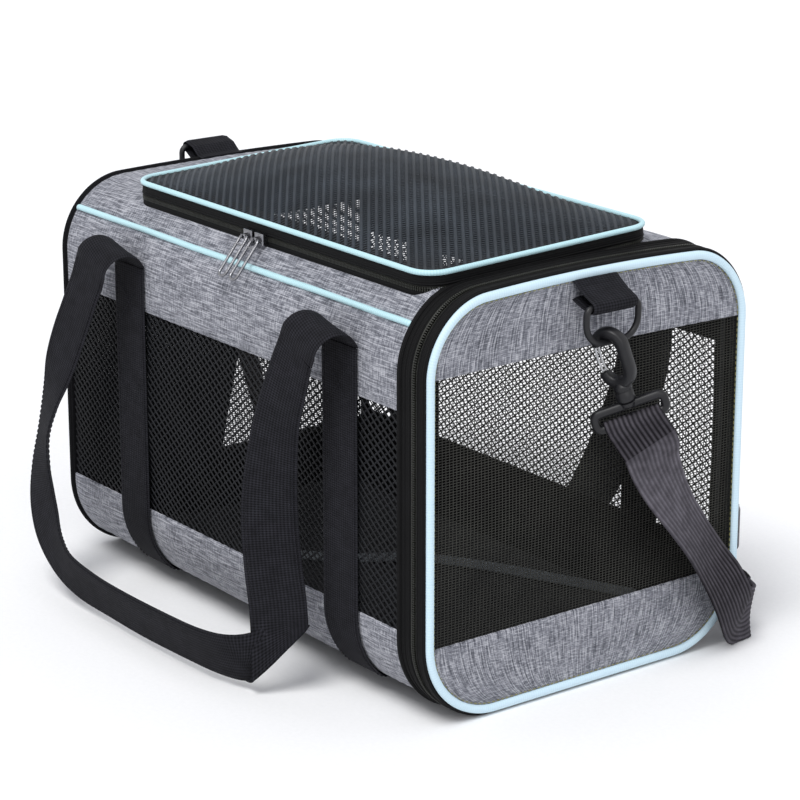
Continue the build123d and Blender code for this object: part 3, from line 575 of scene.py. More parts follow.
def slantedLines(boxA, boxB, pitch, degrees, inside=None):
    # ends of parallel lines, 'pitch' apart and turned by 'degrees', cut by a box and any convex outline
    way = np.array([math.cos(math.radians(degrees)), math.sin(math.radians(degrees))])
    square = np.array([-way[1], way[0]])
    middle = np.array([sum(boxA) / 2, sum(boxB) / 2])
    reach = math.hypot(boxA[1] - boxA[0], boxB[1] - boxB[0]) / 2
    offsets = np.arange(-reach, reach, pitch) + pitch / 2
    t = np.linspace(-reach, reach, 1600)
    spots = middle + offsets[:, None, None] * square + t[None, :, None] * way
    a, b = spots[..., 0], spots[..., 1]
    keep = (a >= boxA[0]) & (a <= boxA[1]) & (b >= boxB[0]) & (b <= boxB[1])
    if inside is not None:
        keep &= inside(a, b)
    used = keep.sum(axis=1) > 6
    spots, keep = spots[used], keep[used]
    rows = np.arange(len(spots))
    first = keep.argmax(axis=1)
    last = keep.shape[1] - 1 - keep[:, ::-1].argmax(axis=1)
    return spots[rows, first], spots[rows, last]


# ---- the bag's own outlines, in mm

bag = {
    "length": 430.0, "side": 135.0, "height": 280.0,
    "topRound": 48.0, "baseRound": 57.0, "crease": 14.0, "baseFlat": 70.0,
    "shellRear": -210.8, "shellFront": 189.0, "seam": 262.0,
    "windowLow": 60.0, "windowHigh": 209.0, "doorLow": 53.0, "doorHigh": 233.0,
    "rearDome": 3.0, "doorDome": 6.0, "domeFrom": 215.0, "domeOver": 60.0,
    "wallSpan": (150.0, 380.0), "shoulderEnd": 163.0,  # mm from the top's middle, down the section
}
outlineStep = 3.0  # mm between the stations of the hoops' and the hatch's outlines


def sectionLine():
    # half of the bag's cross-section from the top's middle: flat, round shoulder, wall, round, slope, flat
    top, base = bag["topRound"], bag["baseRound"]
    turn = np.radians(np.arange(0, 91, 1.5))
    y, z = [np.array([0.0])], [np.array([bag["height"]])]
    y.append(bag["side"] - top + top * np.sin(turn))
    z.append(bag["height"] - top + top * np.cos(turn))
    last = math.asin((base - bag["crease"]) / base)
    turn = np.linspace(0, last, 34)
    y.append(bag["side"] - base + base * np.cos(turn))
    z.append(base - base * np.sin(turn))
    y.append(np.array([bag["baseFlat"], 0.0]))
    z.append(np.array([0.0, 0.0]))
    y, z = np.concatenate(y), np.concatenate(z)
    s = np.concatenate([[0], np.cumsum(np.hypot(np.diff(y), np.diff(z)))])
    fine = np.arange(0, s[-1], 0.5)
    y, z = np.interp(fine, s, y), np.interp(fine, s, z)
    gradY, gradZ = np.gradient(y), np.gradient(z)
    size = np.hypot(gradY, gradZ)
    return fine, y, z, -gradZ / size, gradY / size


sectionS, sectionY, sectionZ, sectionNy, sectionNz = sectionLine()


def onBody(side):
    # surface(x, s): s runs in mm from the top's middle down one side; side is -1 near, 1 far
    def surface(x, s):
        y, z = np.interp(s, sectionS, sectionY), np.interp(s, sectionS, sectionZ)
        ny, nz = np.interp(s, sectionS, sectionNy), np.interp(s, sectionS, sectionNz)
        return np.stack([x, side * y, z], axis=-1), unit(np.stack([x * 0, side * ny, nz], axis=-1))
    return surface


def atHeight(z):
    # the s of a height on the wall or on the shoulder over it
    low, high = bag["wallSpan"]
    onWall = z < bag["height"] - bag["topRound"]
    part = (sectionS > low) & (sectionS < high) if onWall else sectionS < bag["shoulderEnd"]
    order = np.argsort(sectionZ[part])
    return float(np.interp(z, sectionZ[part][order], sectionS[part][order]))


seamS = atHeight(bag["seam"])
windowTopS, windowLowS = atHeight(bag["windowHigh"]), atHeight(bag["windowLow"])
creaseS = float(sectionS[np.argmin(np.abs(sectionZ - bag["crease"]) + (sectionY < 100) * 99)])


def roundedLoop(halfA, halfB, centre, radii, step):
    # closed outline of a rounded box in (a, b) with its outward directions; radii for +b and -b corners
    pieces, normals = [], []
    for signA, signB, start in ((1, 1, 0), (-1, 1, 90), (-1, -1, 180), (1, -1, 270)):
        radius = radii[0] if signB > 0 else radii[1]
        turn = np.radians(start + np.linspace(0, 90, max(4, int(radius * 1.57 / step))))
        middle = np.array([centre[0] + signA * (halfA - radius), centre[1] + signB * (halfB - radius)])
        way = np.stack([np.cos(turn), np.sin(turn)], axis=1)
        pieces.append(middle + radius * way)
        normals.append(way)
    points, normal = np.vstack(pieces), np.vstack(normals)
    closed = np.vstack([np.hstack([points, normal]), np.hstack([points[:1], normal[:1]])])
    length = np.concatenate([[0], np.cumsum(np.linalg.norm(np.diff(closed[:, :2], axis=0), axis=1))])
    keep = np.concatenate([[True], np.diff(length) > 1e-6])
    at = np.linspace(0, length[-1], int(length[-1] / step), endpoint=False)
    fine = np.stack([np.interp(at, length[keep], closed[keep, k]) for k in range(4)], axis=1)
    return fine[:, :2], unit(fine[:, 2:])


def hoopLoop():
    # the end hoops' outline, points and outward ways in 3-D at x = 0
    middle, radii = bag["height"] / 2, (bag["topRound"], bag["baseRound"])
    flat, way = roundedLoop(bag["side"], middle, (0, middle), radii, outlineStep)
    zero = np.zeros(len(flat))
    return np.column_stack([zero, flat]), np.column_stack([zero, way])


hoopPath, hoopOut = hoopLoop()
alongX = np.broadcast_to([1.0, 0, 0], hoopPath.shape)


def hoopBand(work, profile):
    # a profile of (x, outward) carried round the end hoop
    sweep(work, hoopPath, alongX, hoopOut, profile, loop=True)


hatch = {
    "rear": -150.0, "front": 190.0, "near": -114.0, "far": 72.0, "round": 17.0,
    "lean": 1.9,  # degrees that the lid falls towards the near side
    "rise": 16.0, "gusset": 7.0, "crown": 30.0, "zipper": 1.4, "gap": 0.6,
    "hem": 3.5, "bind": (2.0, 7.0),  # the net's edge in from the rim, and the inner binding's place and width
}
hatchMiddle = np.array([(hatch["rear"] + hatch["front"]) / 2, hatch["far"], bag["height"] + hatch["rise"]])
hatchSin, hatchCos = math.sin(math.radians(hatch["lean"])), math.cos(math.radians(hatch["lean"]))
hatchUp, hatchAcross = np.array([0, -hatchSin, hatchCos]), np.array([0, hatchCos, hatchSin])
hatchHalf = ((hatch["front"] - hatch["rear"]) / 2, (hatch["far"] - hatch["near"]) / 2)


def inHatch(a, b, h):
    # a along the bag and b across it, from the hatch's middle; h above the rim's plane
    a, b, h = (np.asarray(v, float)[..., None] for v in (a, b, h))
    return hatchMiddle + np.array([1.0, 0, 0]) * a + hatchAcross * (b - hatchHalf[1]) + hatchUp * h


hatchFlat, hatchWay = roundedLoop(*hatchHalf, (0, 0), (hatch["round"], hatch["round"]), outlineStep)
hatchPath = inHatch(hatchFlat[:, 0], hatchFlat[:, 1], np.zeros(len(hatchFlat)))
hatchOut = hatchWay[:, :1] * np.array([1.0, 0, 0]) + hatchWay[:, 1:] * hatchAcross
hatchRise = np.broadcast_to(hatchUp, hatchPath.shape)


def hatchBand(work, profile):
    # a profile of (height, outward) carried round the hatch's rim
    sweep(work, hatchPath, hatchRise, hatchOut, profile, loop=True)


def roundProfile(centreA, centreB, radius, count=12):
    turn = np.linspace(0, math.tau, count, endpoint=False)
    return np.stack([centreA + radius * np.cos(turn), centreB + radius * np.sin(turn)], axis=1)


def bandProfile(low, high, outer, inner, crown):
    # a soft band: its outer face is crowned by 'crown' between two edges
    t = np.linspace(0, 1, 9)
    edge = np.sqrt(np.clip(1 - (2 * t - 1) ** 8, 0, 1))
    face = (outer + crown * (1 - (2 * t - 1) ** 2) - 0.5) + 0.5 * edge
    top = np.stack([low + (high - low) * t, face], axis=1)
    bottom = np.stack([low + (high - low) * t, np.full(len(t), inner)], axis=1)[::-1]
    return np.vstack([top, bottom])


# ---- shell panels

webbing = {
    "width": 38.0, "thick": 1.8, "fold": 239.5, "archRound": 13.0, "lean": 13.0, "stitchIn": 3.0,
    "near": (-123.0, 128.0), "far": (-139.0, 112.0),  # where the sewn legs stand
    # the near handle's crease: its middle, the way it points, the way its face looks and the layers' half gap
    "corner": (109.0, -172.0, 30.0), "cornerWay": (0.6, 0.8, 0), "cornerFace": (0.8, -0.6, 0), "layers": 1.0,
    "base": 424.0,  # mm from the top's middle, down the section, to the legs' lower ends
}

panel = {
    "wall": 2.2, "crown": 1.3, "soft": 0.7, "pucker": 0.3, "puckerWave": 9.0,
    "stand": 0.3, "tuck": 1.5, "rimPull": 3.5, "topRows": 26,
}


def sewnRelief(low, high, seed, legs):
    # height of a sewn panel: crown * (1 - u^4) * (1 - v^12) with soft waves, a ripple that dies away
    # from its seams, and both pressed flat under the legs
    def relief(x, s):
        away = np.minimum(np.abs(x - legs[0]), np.abs(x - legs[1]))
        free = 1 - 0.9 * np.clip((34 - away) / 14, 0, 1) * (s > seamS + 6)
        u = np.clip((s - low) / (high - low), 0, 1)
        v = np.clip((x - bag["shellRear"]) / (bag["shellFront"] - bag["shellRear"]), 0, 1)
        inner = (1 - (2 * u - 1) ** 4) * (1 - (2 * v - 1) ** 12)
        lift = panel["crown"] + panel["soft"] * waves(x, s, 75, seed)
        ripple = np.sin(x * math.tau / panel["puckerWave"] + 2.5 * waves(x, s, 45, seed + 3))
        near = np.exp(-np.minimum(s - low, high - s).clip(0) / 5.0)
        pucker = panel["pucker"] * ripple * near * (1 - (2 * v - 1) ** 12)
        return panel["stand"] + (lift * inner + pucker) * free
    return relief


def makeWalls():
    x = spread(bag["shellRear"], bag["shellFront"], 1.5)
    for side, word, seed in ((-1, "near", 11), (1, "far", 31)):
        surface, legs = onBody(side), webbing[word]
        upper = spread(seamS, windowTopS + panel["tuck"], 2.2)
        lower = spread(windowLowS - panel["tuck"], creaseS, 2.2)
        for name, s, shift in (("upper", upper, 0), ("lower", lower, 7)):
            work = Stitchery()
            clothPanel(work, x, s, surface, sewnRelief(s[0], s[-1], seed + shift, legs), panel["wall"])
            work.make(f"{word}{name.title()}Band", "heather", "lining", body="carrier", slot="heather_cloth",
                      replaces=[f"{word}_{name}_band"], dome=True)
        makeSideNet(surface, word)
        hems = Stitchery()
        for s, shift in ((windowTopS, -2.6), (windowLowS, 2.6)):
            line = np.arange(bag["shellRear"] + 2, bag["shellFront"] - 3, 1.5)
            points, normal = surface(line, np.full(len(line), s + shift))
            band, later = (upper, 0) if shift < 0 else (lower, 7)
            relief = sewnRelief(band[0], band[-1], seed + later, legs)
            lift = relief(line, np.full(len(line), s + shift))
            stitchRow(hems, points + normal * lift[:, None], normal, "hem")
        hems.make(f"{word}HemStitches", "greyThread", body="carrier")
        makeSidePiping(side, word)


netSize = {
    # mm from yarn to yarn, mm across a yarn, and degrees
    "sidePitch": 4.5, "sideYarn": {"near": 1.55, "far": 1.1}, "sideSlant": 38, "sideBulge": 1.8,
    "doorPitch": (2.8, 1.8), "doorYarn": 0.6, "rearPitch": (2.2, 1.5), "rearYarn": 0.7, "endBulge": 2.2,
    "pocketPitch": 1.5, "pocketYarn": 1.25,
    "hatchPitch": (5.0, 2.7), "hatchYarn": (2.6, 1.45), "hatchWay": (143.0, 53.0),
}


def makeSideNet(surface, word):
    # two sets of yarns that slant both ways, behind the window's hems
    net = Stitchery()
    box = (bag["shellRear"] + 1, bag["shellFront"] - 1), (windowTopS - 4, windowLowS + 4)

    def slack(a, b):
        # hung out between its hems: bulge * (1 - v^2) * (1 - u^6), with soft waves
        points, normal = surface(a, b)
        u = (a - box[0][0]) / (box[0][1] - box[0][0])
        v = (b - box[1][0]) / (box[1][1] - box[1][0])
        fall = np.clip(1 - (2 * v - 1) ** 2, 0, 1) * np.clip(1 - (2 * u - 1) ** 6, 0, 1)
        bulge = netSize["sideBulge"] * fall
        return points + normal * (bulge + 0.5 * waves(a, b, 60, 5) - 1.6)[..., None], normal

    for degrees, lift in ((netSize["sideSlant"], 0.28), (-netSize["sideSlant"], -0.28)):
        starts, ends = slantedLines(*box, netSize["sidePitch"], degrees)
        netting(net, starts, ends, slack, netSize["sideYarn"][word], 0.6, 26, lift)
    net.make(f"{word}SideNet", "net", body="carrier", slot="black_mesh", replaces=[f"{word}_side_mesh"])


def makeSidePiping(side, word):
    # a covered cord let into the seam, tucked under the end bindings
    x = np.arange(bag["shellRear"] - 1, bag["shellFront"] + 1.5, 1.5)
    points, normal = onBody(side)(x, np.full(len(x), seamS))
    sway = 0.35 * waves(x, x * 0, 80, 4)
    tuck = 3.4 * (np.exp(-((x - x[0]) / 3.2) ** 2) + np.exp(-((x[-1] - x) / 3.2) ** 2))
    points = points + normal * (1.7 + 0.15 * waves(x, x * 0, 23, 9) - tuck)[:, None]
    points[:, 2] += sway
    _, across, up = framesAlong(points, np.cross(normal, [1.0, 0, 0]))
    work = Stitchery()
    sweep(work, points, across, up, roundProfile(0, 0, 2.15, 14))
    work.make(f"{word}Piping", "piping", body="carrier", slot="aqua_piping", replaces=[f"{word}_piping"])


def signedS(y):
    # distance across the top from its middle, negative on the near side
    upper = sectionS < 200
    return np.sign(y) * np.interp(np.abs(y), sectionY[upper], sectionS[upper])


def onTop(x, b):
    # surface(x, b): b runs in mm across the top from its middle, negative on the near side
    near, nearWay = onBody(-1)(x, np.abs(b))
    far, farWay = onBody(1)(x, np.abs(b))
    pick = (b < 0)[..., None]
    return np.where(pick, near, far), np.where(pick, nearWay, farWay)


def makeTopPanel():
    # the panel runs from its four edges in to the hatch's opening, along rays from the opening's middle
    middle = np.array([(hatch["rear"] + hatch["front"]) / 2, (hatch["near"] + hatch["far"]) / 2])
    hole = middle + hatchFlat - hatchWay * 1.0
    hole = np.stack([hole[:, 0], signedS(hole[:, 1])], axis=1)
    centre = hole.mean(axis=0)
    low, high = np.array([bag["shellRear"], -seamS]), np.array([bag["shellFront"], seamS])
    corners = np.array([(low[0], low[1]), (high[0], low[1]), (high[0], high[1]), (low[0], high[1])])
    angle = np.arctan2(*(hole - centre).T[::-1])
    cornerAngle = np.arctan2(*(corners - centre).T[::-1])
    order = np.argsort(angle)
    turn = np.sort(np.concatenate([np.linspace(-math.pi, math.pi, 720, endpoint=False), cornerAngle]))
    inner = np.interp(turn, angle[order], np.linalg.norm(hole - centre, axis=1)[order], period=math.tau)
    way = np.stack([np.cos(turn), np.sin(turn)], axis=1)
    limit = np.where(way > 0, high - centre, centre - low) / np.maximum(np.abs(way), 1e-9)
    outer = limit.min(axis=1)
    t = rolledSteps(panel["topRows"])
    flat = centre + way[:, None] * (inner[:, None] + (outer - inner)[:, None] * t)[..., None]
    a, b = flat[..., 0], flat[..., 1]
    points, normal = onTop(a, b)
    edge = np.minimum(np.minimum(a - low[0], high[0] - a), np.minimum(b - low[1], high[1] - b)).clip(0)
    gap = (flat - centre - way[:, None] * inner[:, None, None])
    rim = np.linalg.norm(gap, axis=2)
    inside = np.clip(edge / 9, 0, 1) * np.clip(rim / 9, 0, 1)
    # the face: soft waves away from the seams, a ripple that dies away from them, and the curb's pull
    ripple = np.sin((a + b) * math.tau / 9.5 + 3 * waves(a, b, 45, 71))
    seam = (np.exp(-edge / 4) + 0.15 * np.exp(-rim / 4)) * np.clip(edge / 2, 0, 1)
    face = panel["stand"] + (1.0 + 0.8 * waves(a, b, 80, 70)) * inside * (2 - inside)
    face = face + panel["pucker"] * ripple * seam + panel["rimPull"] * np.exp(-rim / 7)
    share = rolled(np.minimum(edge, rim))
    core = face - panel["wall"] / 2
    top = points + normal * (core + panel["wall"] / 2 * share)[..., None]
    bottom = points + normal * (core - panel["wall"] / 2 * share)[..., None]
    rings = np.concatenate([top, bottom[:, ::-1]], axis=1)
    uv = np.concatenate([flat, flat[:, ::-1]], axis=1)
    work = Stitchery()
    work.tubes(rings, loop=True, kinds=np.repeat([0, 1], len(t)), flatUv=uv)
    work.make("topPanelCloth", "heather", "lining", body="carrier", slot="heather_cloth",
              replaces=["top_panel"], dome=True)


def rolledSteps(count):
    # shares from 0 to 1, closer together at both ends
    t = np.linspace(0, 1, count - 4)
    return np.sort(np.concatenate([t, [0.006, 0.02, 0.98, 0.994]]))


def makeBottom():
    # black Oxford cloth under the board, flat where the bag stands
    last = float(sectionS[-1])
    width = last - creaseS

    def surface(x, b):
        # b runs in mm across the underside from its middle, negative on the near side
        return onTop(x, np.where(b < 0, -1, 1) * (last - np.abs(b)))

    x, b = spread(bag["shellRear"], bag["shellFront"], 4), spread(-width, width, 4)
    work = Stitchery()
    clothPanel(work, x, b, surface, lambda x, b: np.full(x.shape, -0.1), panel["wall"])
    work.make("bottomCloth", "blackCloth", "lining", body="carrier", slot="black_cloth",
              replaces=["bottom_panel"])


makeWalls()
makeTopPanel()
makeBottom()
print("shell panels are made")


# ---- ends, door and their bindings

end = {
    "doorBack": 214.2, "rear": -215.0, "inset": 2.5, "netInset": 4.0, "netHalf": 131.0, "netBehind": 2.0,
    "pocketEdge": 12.0, "pocketLean": 0.25, "pocketIn": 1.4,
    "trimIn": 7.6, "trimFace": 214.9,  # where the stitches of the door's trim lie
}
hoopPieces = {
    # finish, body, replaced node and profiles: five numbers are a band (from, to, outer face, inner face,
    # crown), three or four are a cord (x, outward, radius, number of points)
    "rearBinding": ("blackCloth", "carrier", "rear_binding", [
        (-215.2, -210.2, 0.6, -1.9, 0.5), (-213.2, 0.3, 2.1, 14), (-214.2, -203.6, -2.3, -3.3, 0.3)]),
    "frontGusset": ("tape", "carrier", "front_gusset", [
        (188.4, 202.3, 0.3, -1.8, 0.5), (189.6, 0.3, 2.0), (194.8, 0.5, 1.0, 8), (199.6, 0.2, 0.9, 8)]),
    "doorGusset": ("tape", "front_door", "door_gusset", [
        (205.5, 213.6, 0.2, -1.8, 0.4), (213.0, -0.7, 1.7), (207.6, 0.2, 0.8, 8)]),
}
doorTrim = [
    # the flat satin trim's section, as (x, outward)
    (211.6, -1.6), (213.4, -1.2), (215.0, -1.1), (216.4, -1.4), (217.2, -2.3), (217.5, -3.6), (217.3, -5.2),
    (216.7, -6.2), (215.7, -6.8), (214.7, -6.7), (214.2, -5.6), (213.9, -3.8), (212.0, -2.6),
]
zipper = {
    "pitch": 1.55, "thick": 1.0, "high": 2.2, "reach": 0.72,  # the teeth
    "apart": 0.75, "middle": 203.9, "frontEdge": 2.4, "hatchEdge": 1.95,  # from the middle to a tape's cord
    "cord": (-0.6, 0.9, 8),
}


def hoopHalf(z, inset):
    # half width of the end hoops at a height
    top, base, side = bag["topRound"], bag["baseRound"], bag["side"]
    overTop = np.clip(z - (bag["height"] - top), 0, top - inset)
    underBase = np.clip(base - z, 0, base - inset)
    roundTop = side - top + np.sqrt(np.clip((top - inset) ** 2 - overTop ** 2, 0, None))
    roundBase = side - base + np.sqrt(np.clip((base - inset) ** 2 - underBase ** 2, 0, None))
    return np.where(z > 140, roundTop, roundBase)


def endSurface(x, facing, inset):
    # surface(z, y): a flat end wall whose rows are narrowed to the hoop's rounded corners
    def surface(z, b):
        y = b / bag["side"] * hoopHalf(z, inset)
        way = np.zeros((*z.shape, 3))
        way[..., 0] = facing
        return np.stack([np.full(z.shape, x), y, z], axis=-1), way
    return surface


def endRelief(low, high, crown, seed):
    # height of an end band: crown * (1 - u^4) * (1 - v^8) with soft waves, and a ripple along its seams
    def relief(z, b):
        u, v = (z - low) / (high - low), b / bag["side"]
        inner = (1 - (2 * u - 1) ** 4) * (1 - v ** 8)
        ripple = np.sin(b * math.tau / 9 + 2 * waves(z, b, 40, seed + 1))
        near = np.exp(-np.minimum(z - low, high - z).clip(0) / 5)
        face = (crown + 0.5 * waves(z, b, 60, seed)) * inner
        return 0.1 + face + 0.25 * ripple * near * (1 - v ** 8)
    return relief


def makeEnd(word, x, facing, body, nodeWord, seed):
    # two bands of cloth over and under a window, and a net of fine crossing yarns behind it
    inset = end["inset"]
    b = spread(-bag["side"], bag["side"], 2.0)
    upper = bag["doorHigh"] - panel["tuck"], bag["height"] - inset
    lower = inset, bag["doorLow"] + panel["tuck"]
    for name, (low, high) in (("upper", upper), ("lower", lower)):
        work = Stitchery()
        relief = endRelief(low, high, 0.9, seed)
        clothPanel(work, spread(low, high, 2.0), b, endSurface(x, facing, inset), relief, panel["wall"])
        work.make(f"{word}{name.title()}Band", "heather", "lining", body=body, slot="heather_cloth",
                  replaces=[f"{nodeWord}_{name}_band"], dome=True)
    surface = endSurface(x - facing * end["netBehind"], facing, end["netInset"])
    box = (bag["doorLow"] - 3, bag["doorHigh"] + 3), (-end["netHalf"], end["netHalf"])
    middle, half = (bag["doorLow"] + bag["doorHigh"]) / 2, (bag["doorHigh"] - bag["doorLow"]) / 2 + 2

    def slack(z, y):
        # hung a little outwards: bulge * (1 - u^2) * (1 - v^4), with soft waves
        points, normal = surface(z, y)
        points[..., 1] = y
        fall = np.clip(1 - ((z - middle) / half) ** 2, 0, 1)
        bulge = netSize["endBulge"] * fall * np.clip(1 - (y / (end["netHalf"] + 1)) ** 4, 0, 1)
        return points + normal * (bulge + 0.4 * waves(z, y, 70, seed))[..., None], normal

    def inside(z, y):
        return np.abs(y) <= hoopHalf(z, end["netInset"])

    net = Stitchery()
    for pitch, degrees, lift in zip(netSize[f"{word}Pitch"], (0, 90), (0.14, -0.14)):
        starts, ends = slantedLines(*box, pitch, degrees, inside)
        netting(net, starts, ends, slack, netSize[f"{word}Yarn"], 0.32, 18, lift)
    net.make(f"{word}Net", "doorNet", body=body, slot="black_mesh", replaces=[f"{nodeWord}_mesh"])
    if word == "rear":
        makePocket(slack, inside, box)


def makePocket(slack, inside, box):
    # an inner pocket of close net on the near half of the rear window, its free edge leaning
    def within(z, y):
        return inside(z, y) & (y < end["pocketEdge"] + (z - 130) * end["pocketLean"])

    def behind(z, y):
        points, normal = slack(z, y)
        return points + np.array([end["pocketIn"], 0, 0]), normal

    work = Stitchery()
    for degrees, lift in ((0, 0.2), (90, -0.2)):
        starts, ends = slantedLines(*box, netSize["pocketPitch"], degrees, within)
        netting(work, starts, ends, behind, netSize["pocketYarn"], 0.4, 12, lift)
    z = np.linspace(*box[0], 60)
    points, normal = behind(z, end["pocketEdge"] + (z - 130) * end["pocketLean"])
    _, across, up = framesAlong(points, np.broadcast_to([0, 1.0, 0], points.shape))
    sweep(work, points, across, up, flatRing(5.0, 1.0))
    work.make("rearPocket", "net", body="carrier")


def teeth(work, path, out, axis, centre, loop=True):
    # nylon zipper teeth: a small block every 'pitch' mm, its length across the zipper, slimmer at its ends
    thick, high, reach = zipper["thick"], zipper["high"], zipper["reach"]
    rows = np.hstack([path, out])
    rows = evenly(np.vstack([rows, rows[:1]]) if loop else rows, zipper["pitch"])[:-1]
    spot, way = rows[:, :3], unit(rows[:, 3:])
    last = spot[:1] if loop else 2 * spot[-1:] - spot[-2:-1]
    along = unit(np.vstack([spot[1:], last]) - spot)
    corner = np.array([(-thick / 2, -high / 2), (thick / 2, -high / 2), (thick / 2 * 0.7, high / 2),
                       (-thick / 2 * 0.7, high / 2)])
    stations = []
    for t, size in ((-reach, 0.8), (-reach * 0.4, 1.0), (reach * 0.4, 1.0), (reach, 0.8)):
        middle = spot + axis * (centre + t)
        offset = along[:, None] * corner[:, :1] + way[:, None] * corner[:, 1:]
        stations.append(middle[:, None] + offset * size)
    work.tubes(np.stack(stations, axis=1))


def makeBands():
    axis = np.array([1.0, 0, 0])
    for name, (look, body, node, profiles) in hoopPieces.items():
        work = Stitchery()
        for shape in profiles:
            hoopBand(work, bandProfile(*shape) if len(shape) == 5 else roundProfile(*shape))
        work.make(name, look, body=body, slot="black_cloth", replaces=[node], dome=True)
    for word, body, sign in (("bag", "carrier", -1), ("door", "front_door", 1)):
        work = Stitchery()
        place = zipper["middle"] + sign * zipper["apart"]
        teeth(work, hoopPath, hoopOut, axis, place)
        hoopBand(work, roundProfile(zipper["middle"] + sign * zipper["frontEdge"], *zipper["cord"]))
        work.make(f"{word}Zipper", "nylon", body=body, slot="zipper_coil",
                  replaces=[f"front_zipper_{word}_half"], dome=True)
    trim = Stitchery()
    hoopBand(trim, np.array(doorTrim))
    trim.make("doorPiping", "bluePiping", body="front_door", slot="aqua_piping",
              replaces=["door_piping"], dome=True)
    sewn = Stitchery()
    path, out = (np.vstack([rows, rows[:1]]) for rows in (hoopPath, hoopOut))
    loop = path + out * -end["trimIn"] + axis * end["trimFace"]
    stitchRow(sewn, loop, np.broadcast_to(axis, loop.shape), "trim")
    sewn.make("doorTrimStitches", "strawThread", body="front_door", dome=True)


makeEnd("rear", end["rear"] + 1.6, -1, "carrier", "rear", 51)
makeEnd("door", end["doorBack"] - 0.1, 1, "front_door", "door", 61)
makeBands()
print("ends and door are made")


# ---- hatch

def bodyHeight(y):
    upper = sectionS < 200
    return np.interp(np.abs(y), sectionY[upper], sectionZ[upper])


def makeHatch():
    low = -(hatch["gusset"] + hatch["zipper"] * 2 + hatch["gap"])
    foot = (bodyHeight(hatchPath[:, 1]) - hatchPath[:, 2]) - 1.0
    t = np.linspace(0, 1, 7)[None, :]
    height = foot[:, None] * (1 - t) + (low + 0.6) * t
    face = 0.2 + 0.5 * (1 - (2 * t - 1) ** 2) + 0 * height
    outer = np.stack([height, face], axis=2)
    inner = np.stack([height, face * 0 - 1.9], axis=2)[:, ::-1]
    curb = Stitchery()
    sweep(curb, hatchPath, hatchRise, hatchOut, np.concatenate([outer, inner], axis=1), loop=True)
    curb.make("hatchCurb", "tape", body="carrier", slot="black_cloth", replaces=["hatch_curb"])
    gusset = Stitchery()
    hatchBand(gusset, bandProfile(-hatch["gusset"] - 0.4, 0.8, 0.3, -1.8, 0.6))
    hatchBand(gusset, roundProfile(-hatch["gusset"] + 1.6, 0.5, 0.8, 8))
    gusset.make("hatchGusset", "tape", body="top_hatch", slot="black_cloth", replaces=["hatch_gusset"])
    middle = low + hatch["zipper"] + hatch["gap"] / 2
    # the zipper leaves out the far side, where the hinge strip is sewn
    far = hatchFlat[:, 1] > hatchHalf[1] - 0.5
    start = np.flatnonzero(far & ~np.roll(far, -1))[0] + 1
    order = np.roll(np.arange(len(far)), -start)[:(~far).sum()]
    path, rise, out = hatchPath[order], hatchRise[order], hatchOut[order]
    for word, body, sign in (("bag", "carrier", -1), ("lid", "top_hatch", 1)):
        work = Stitchery()
        teeth(work, path, out, hatchUp, middle + sign * zipper["apart"], loop=False)
        sweep(work, path, rise, out, roundProfile(middle + sign * zipper["hatchEdge"], *zipper["cord"]))
        work.make(f"hatch{word.title()}Zipper", "nylon", body=body, slot="zipper_coil",
                  replaces=[f"hatch_zipper_{word}_half"])
    bead = Stitchery()
    hatchBand(bead, roundProfile(2.1, 0.3, 1.85, 14))
    bead.make("hatchPiping", "piping", body="top_hatch", slot="aqua_piping", replaces=["hatch_piping"])
    makeDome()


def makeDome():
    # crowned net: height over the rim is crown * (1 - u^2) * (1 - v^2), with shallow waves
    half = np.array(hatchHalf) - hatch["hem"]
    corner = hatch["round"] - hatch["hem"]

    def inside(a, b):
        over = np.stack([np.abs(a) - half[0] + corner, np.abs(b) - half[1] + corner], axis=-1).clip(0)
        return (np.linalg.norm(over, axis=-1) <= corner) & (np.abs(a) <= half[0]) & (np.abs(b) <= half[1])

    def height(a, b):
        u, v = a / half[0], b / half[1]
        full = np.clip(1 - u * u, 0, 1) * np.clip(1 - v * v, 0, 1)
        return 2.0 + hatch["crown"] * full + 1.6 * waves(a, b, 120, 17) * full ** 0.5

    def surface(a, b):
        # the crowned height over the rim's plane, with its normal from the slopes both ways
        h = height(a, b)
        slopeA, slopeB = (height(a + 1, b) - h)[..., None], (height(a, b + 1) - h)[..., None]
        normal = unit(hatchUp - np.array([1.0, 0, 0]) * slopeA - hatchAcross * slopeB)
        return inHatch(a, b, h), normal

    net = Stitchery()
    box = (-half[0], half[0]), (-half[1], half[1])
    sets = zip(netSize["hatchPitch"], netSize["hatchWay"], netSize["hatchYarn"], (1.1, 0.6), (0.5, -0.1))
    for pitch, way, width, thick, lift in sets:
        starts, ends = slantedLines(*box, pitch, way, inside)
        netting(net, starts, ends, surface, width, thick, 44, lift)
    net.make("hatchNet", "hatchNet", body="top_hatch", slot="black_mesh", replaces=["hatch_mesh"])
    binding = Stitchery()
    start, width = hatch["bind"]
    t = np.linspace(0, 1, 6)
    flat = hatchFlat[:, None] - hatchWay[:, None] * (start + width * t)[None, :, None]
    points, normal = surface(flat[..., 0], flat[..., 1])
    rings = np.concatenate([points + normal * 0.1, (points - normal * 0.9)[:, ::-1]], axis=1)
    binding.tubes(rings, loop=True)
    binding.make("hatchBinding", "tape", body="top_hatch", slot="black_cloth")


makeHatch()
print("hatch is made")


# ---- webbing: carry handles, tabs and straps

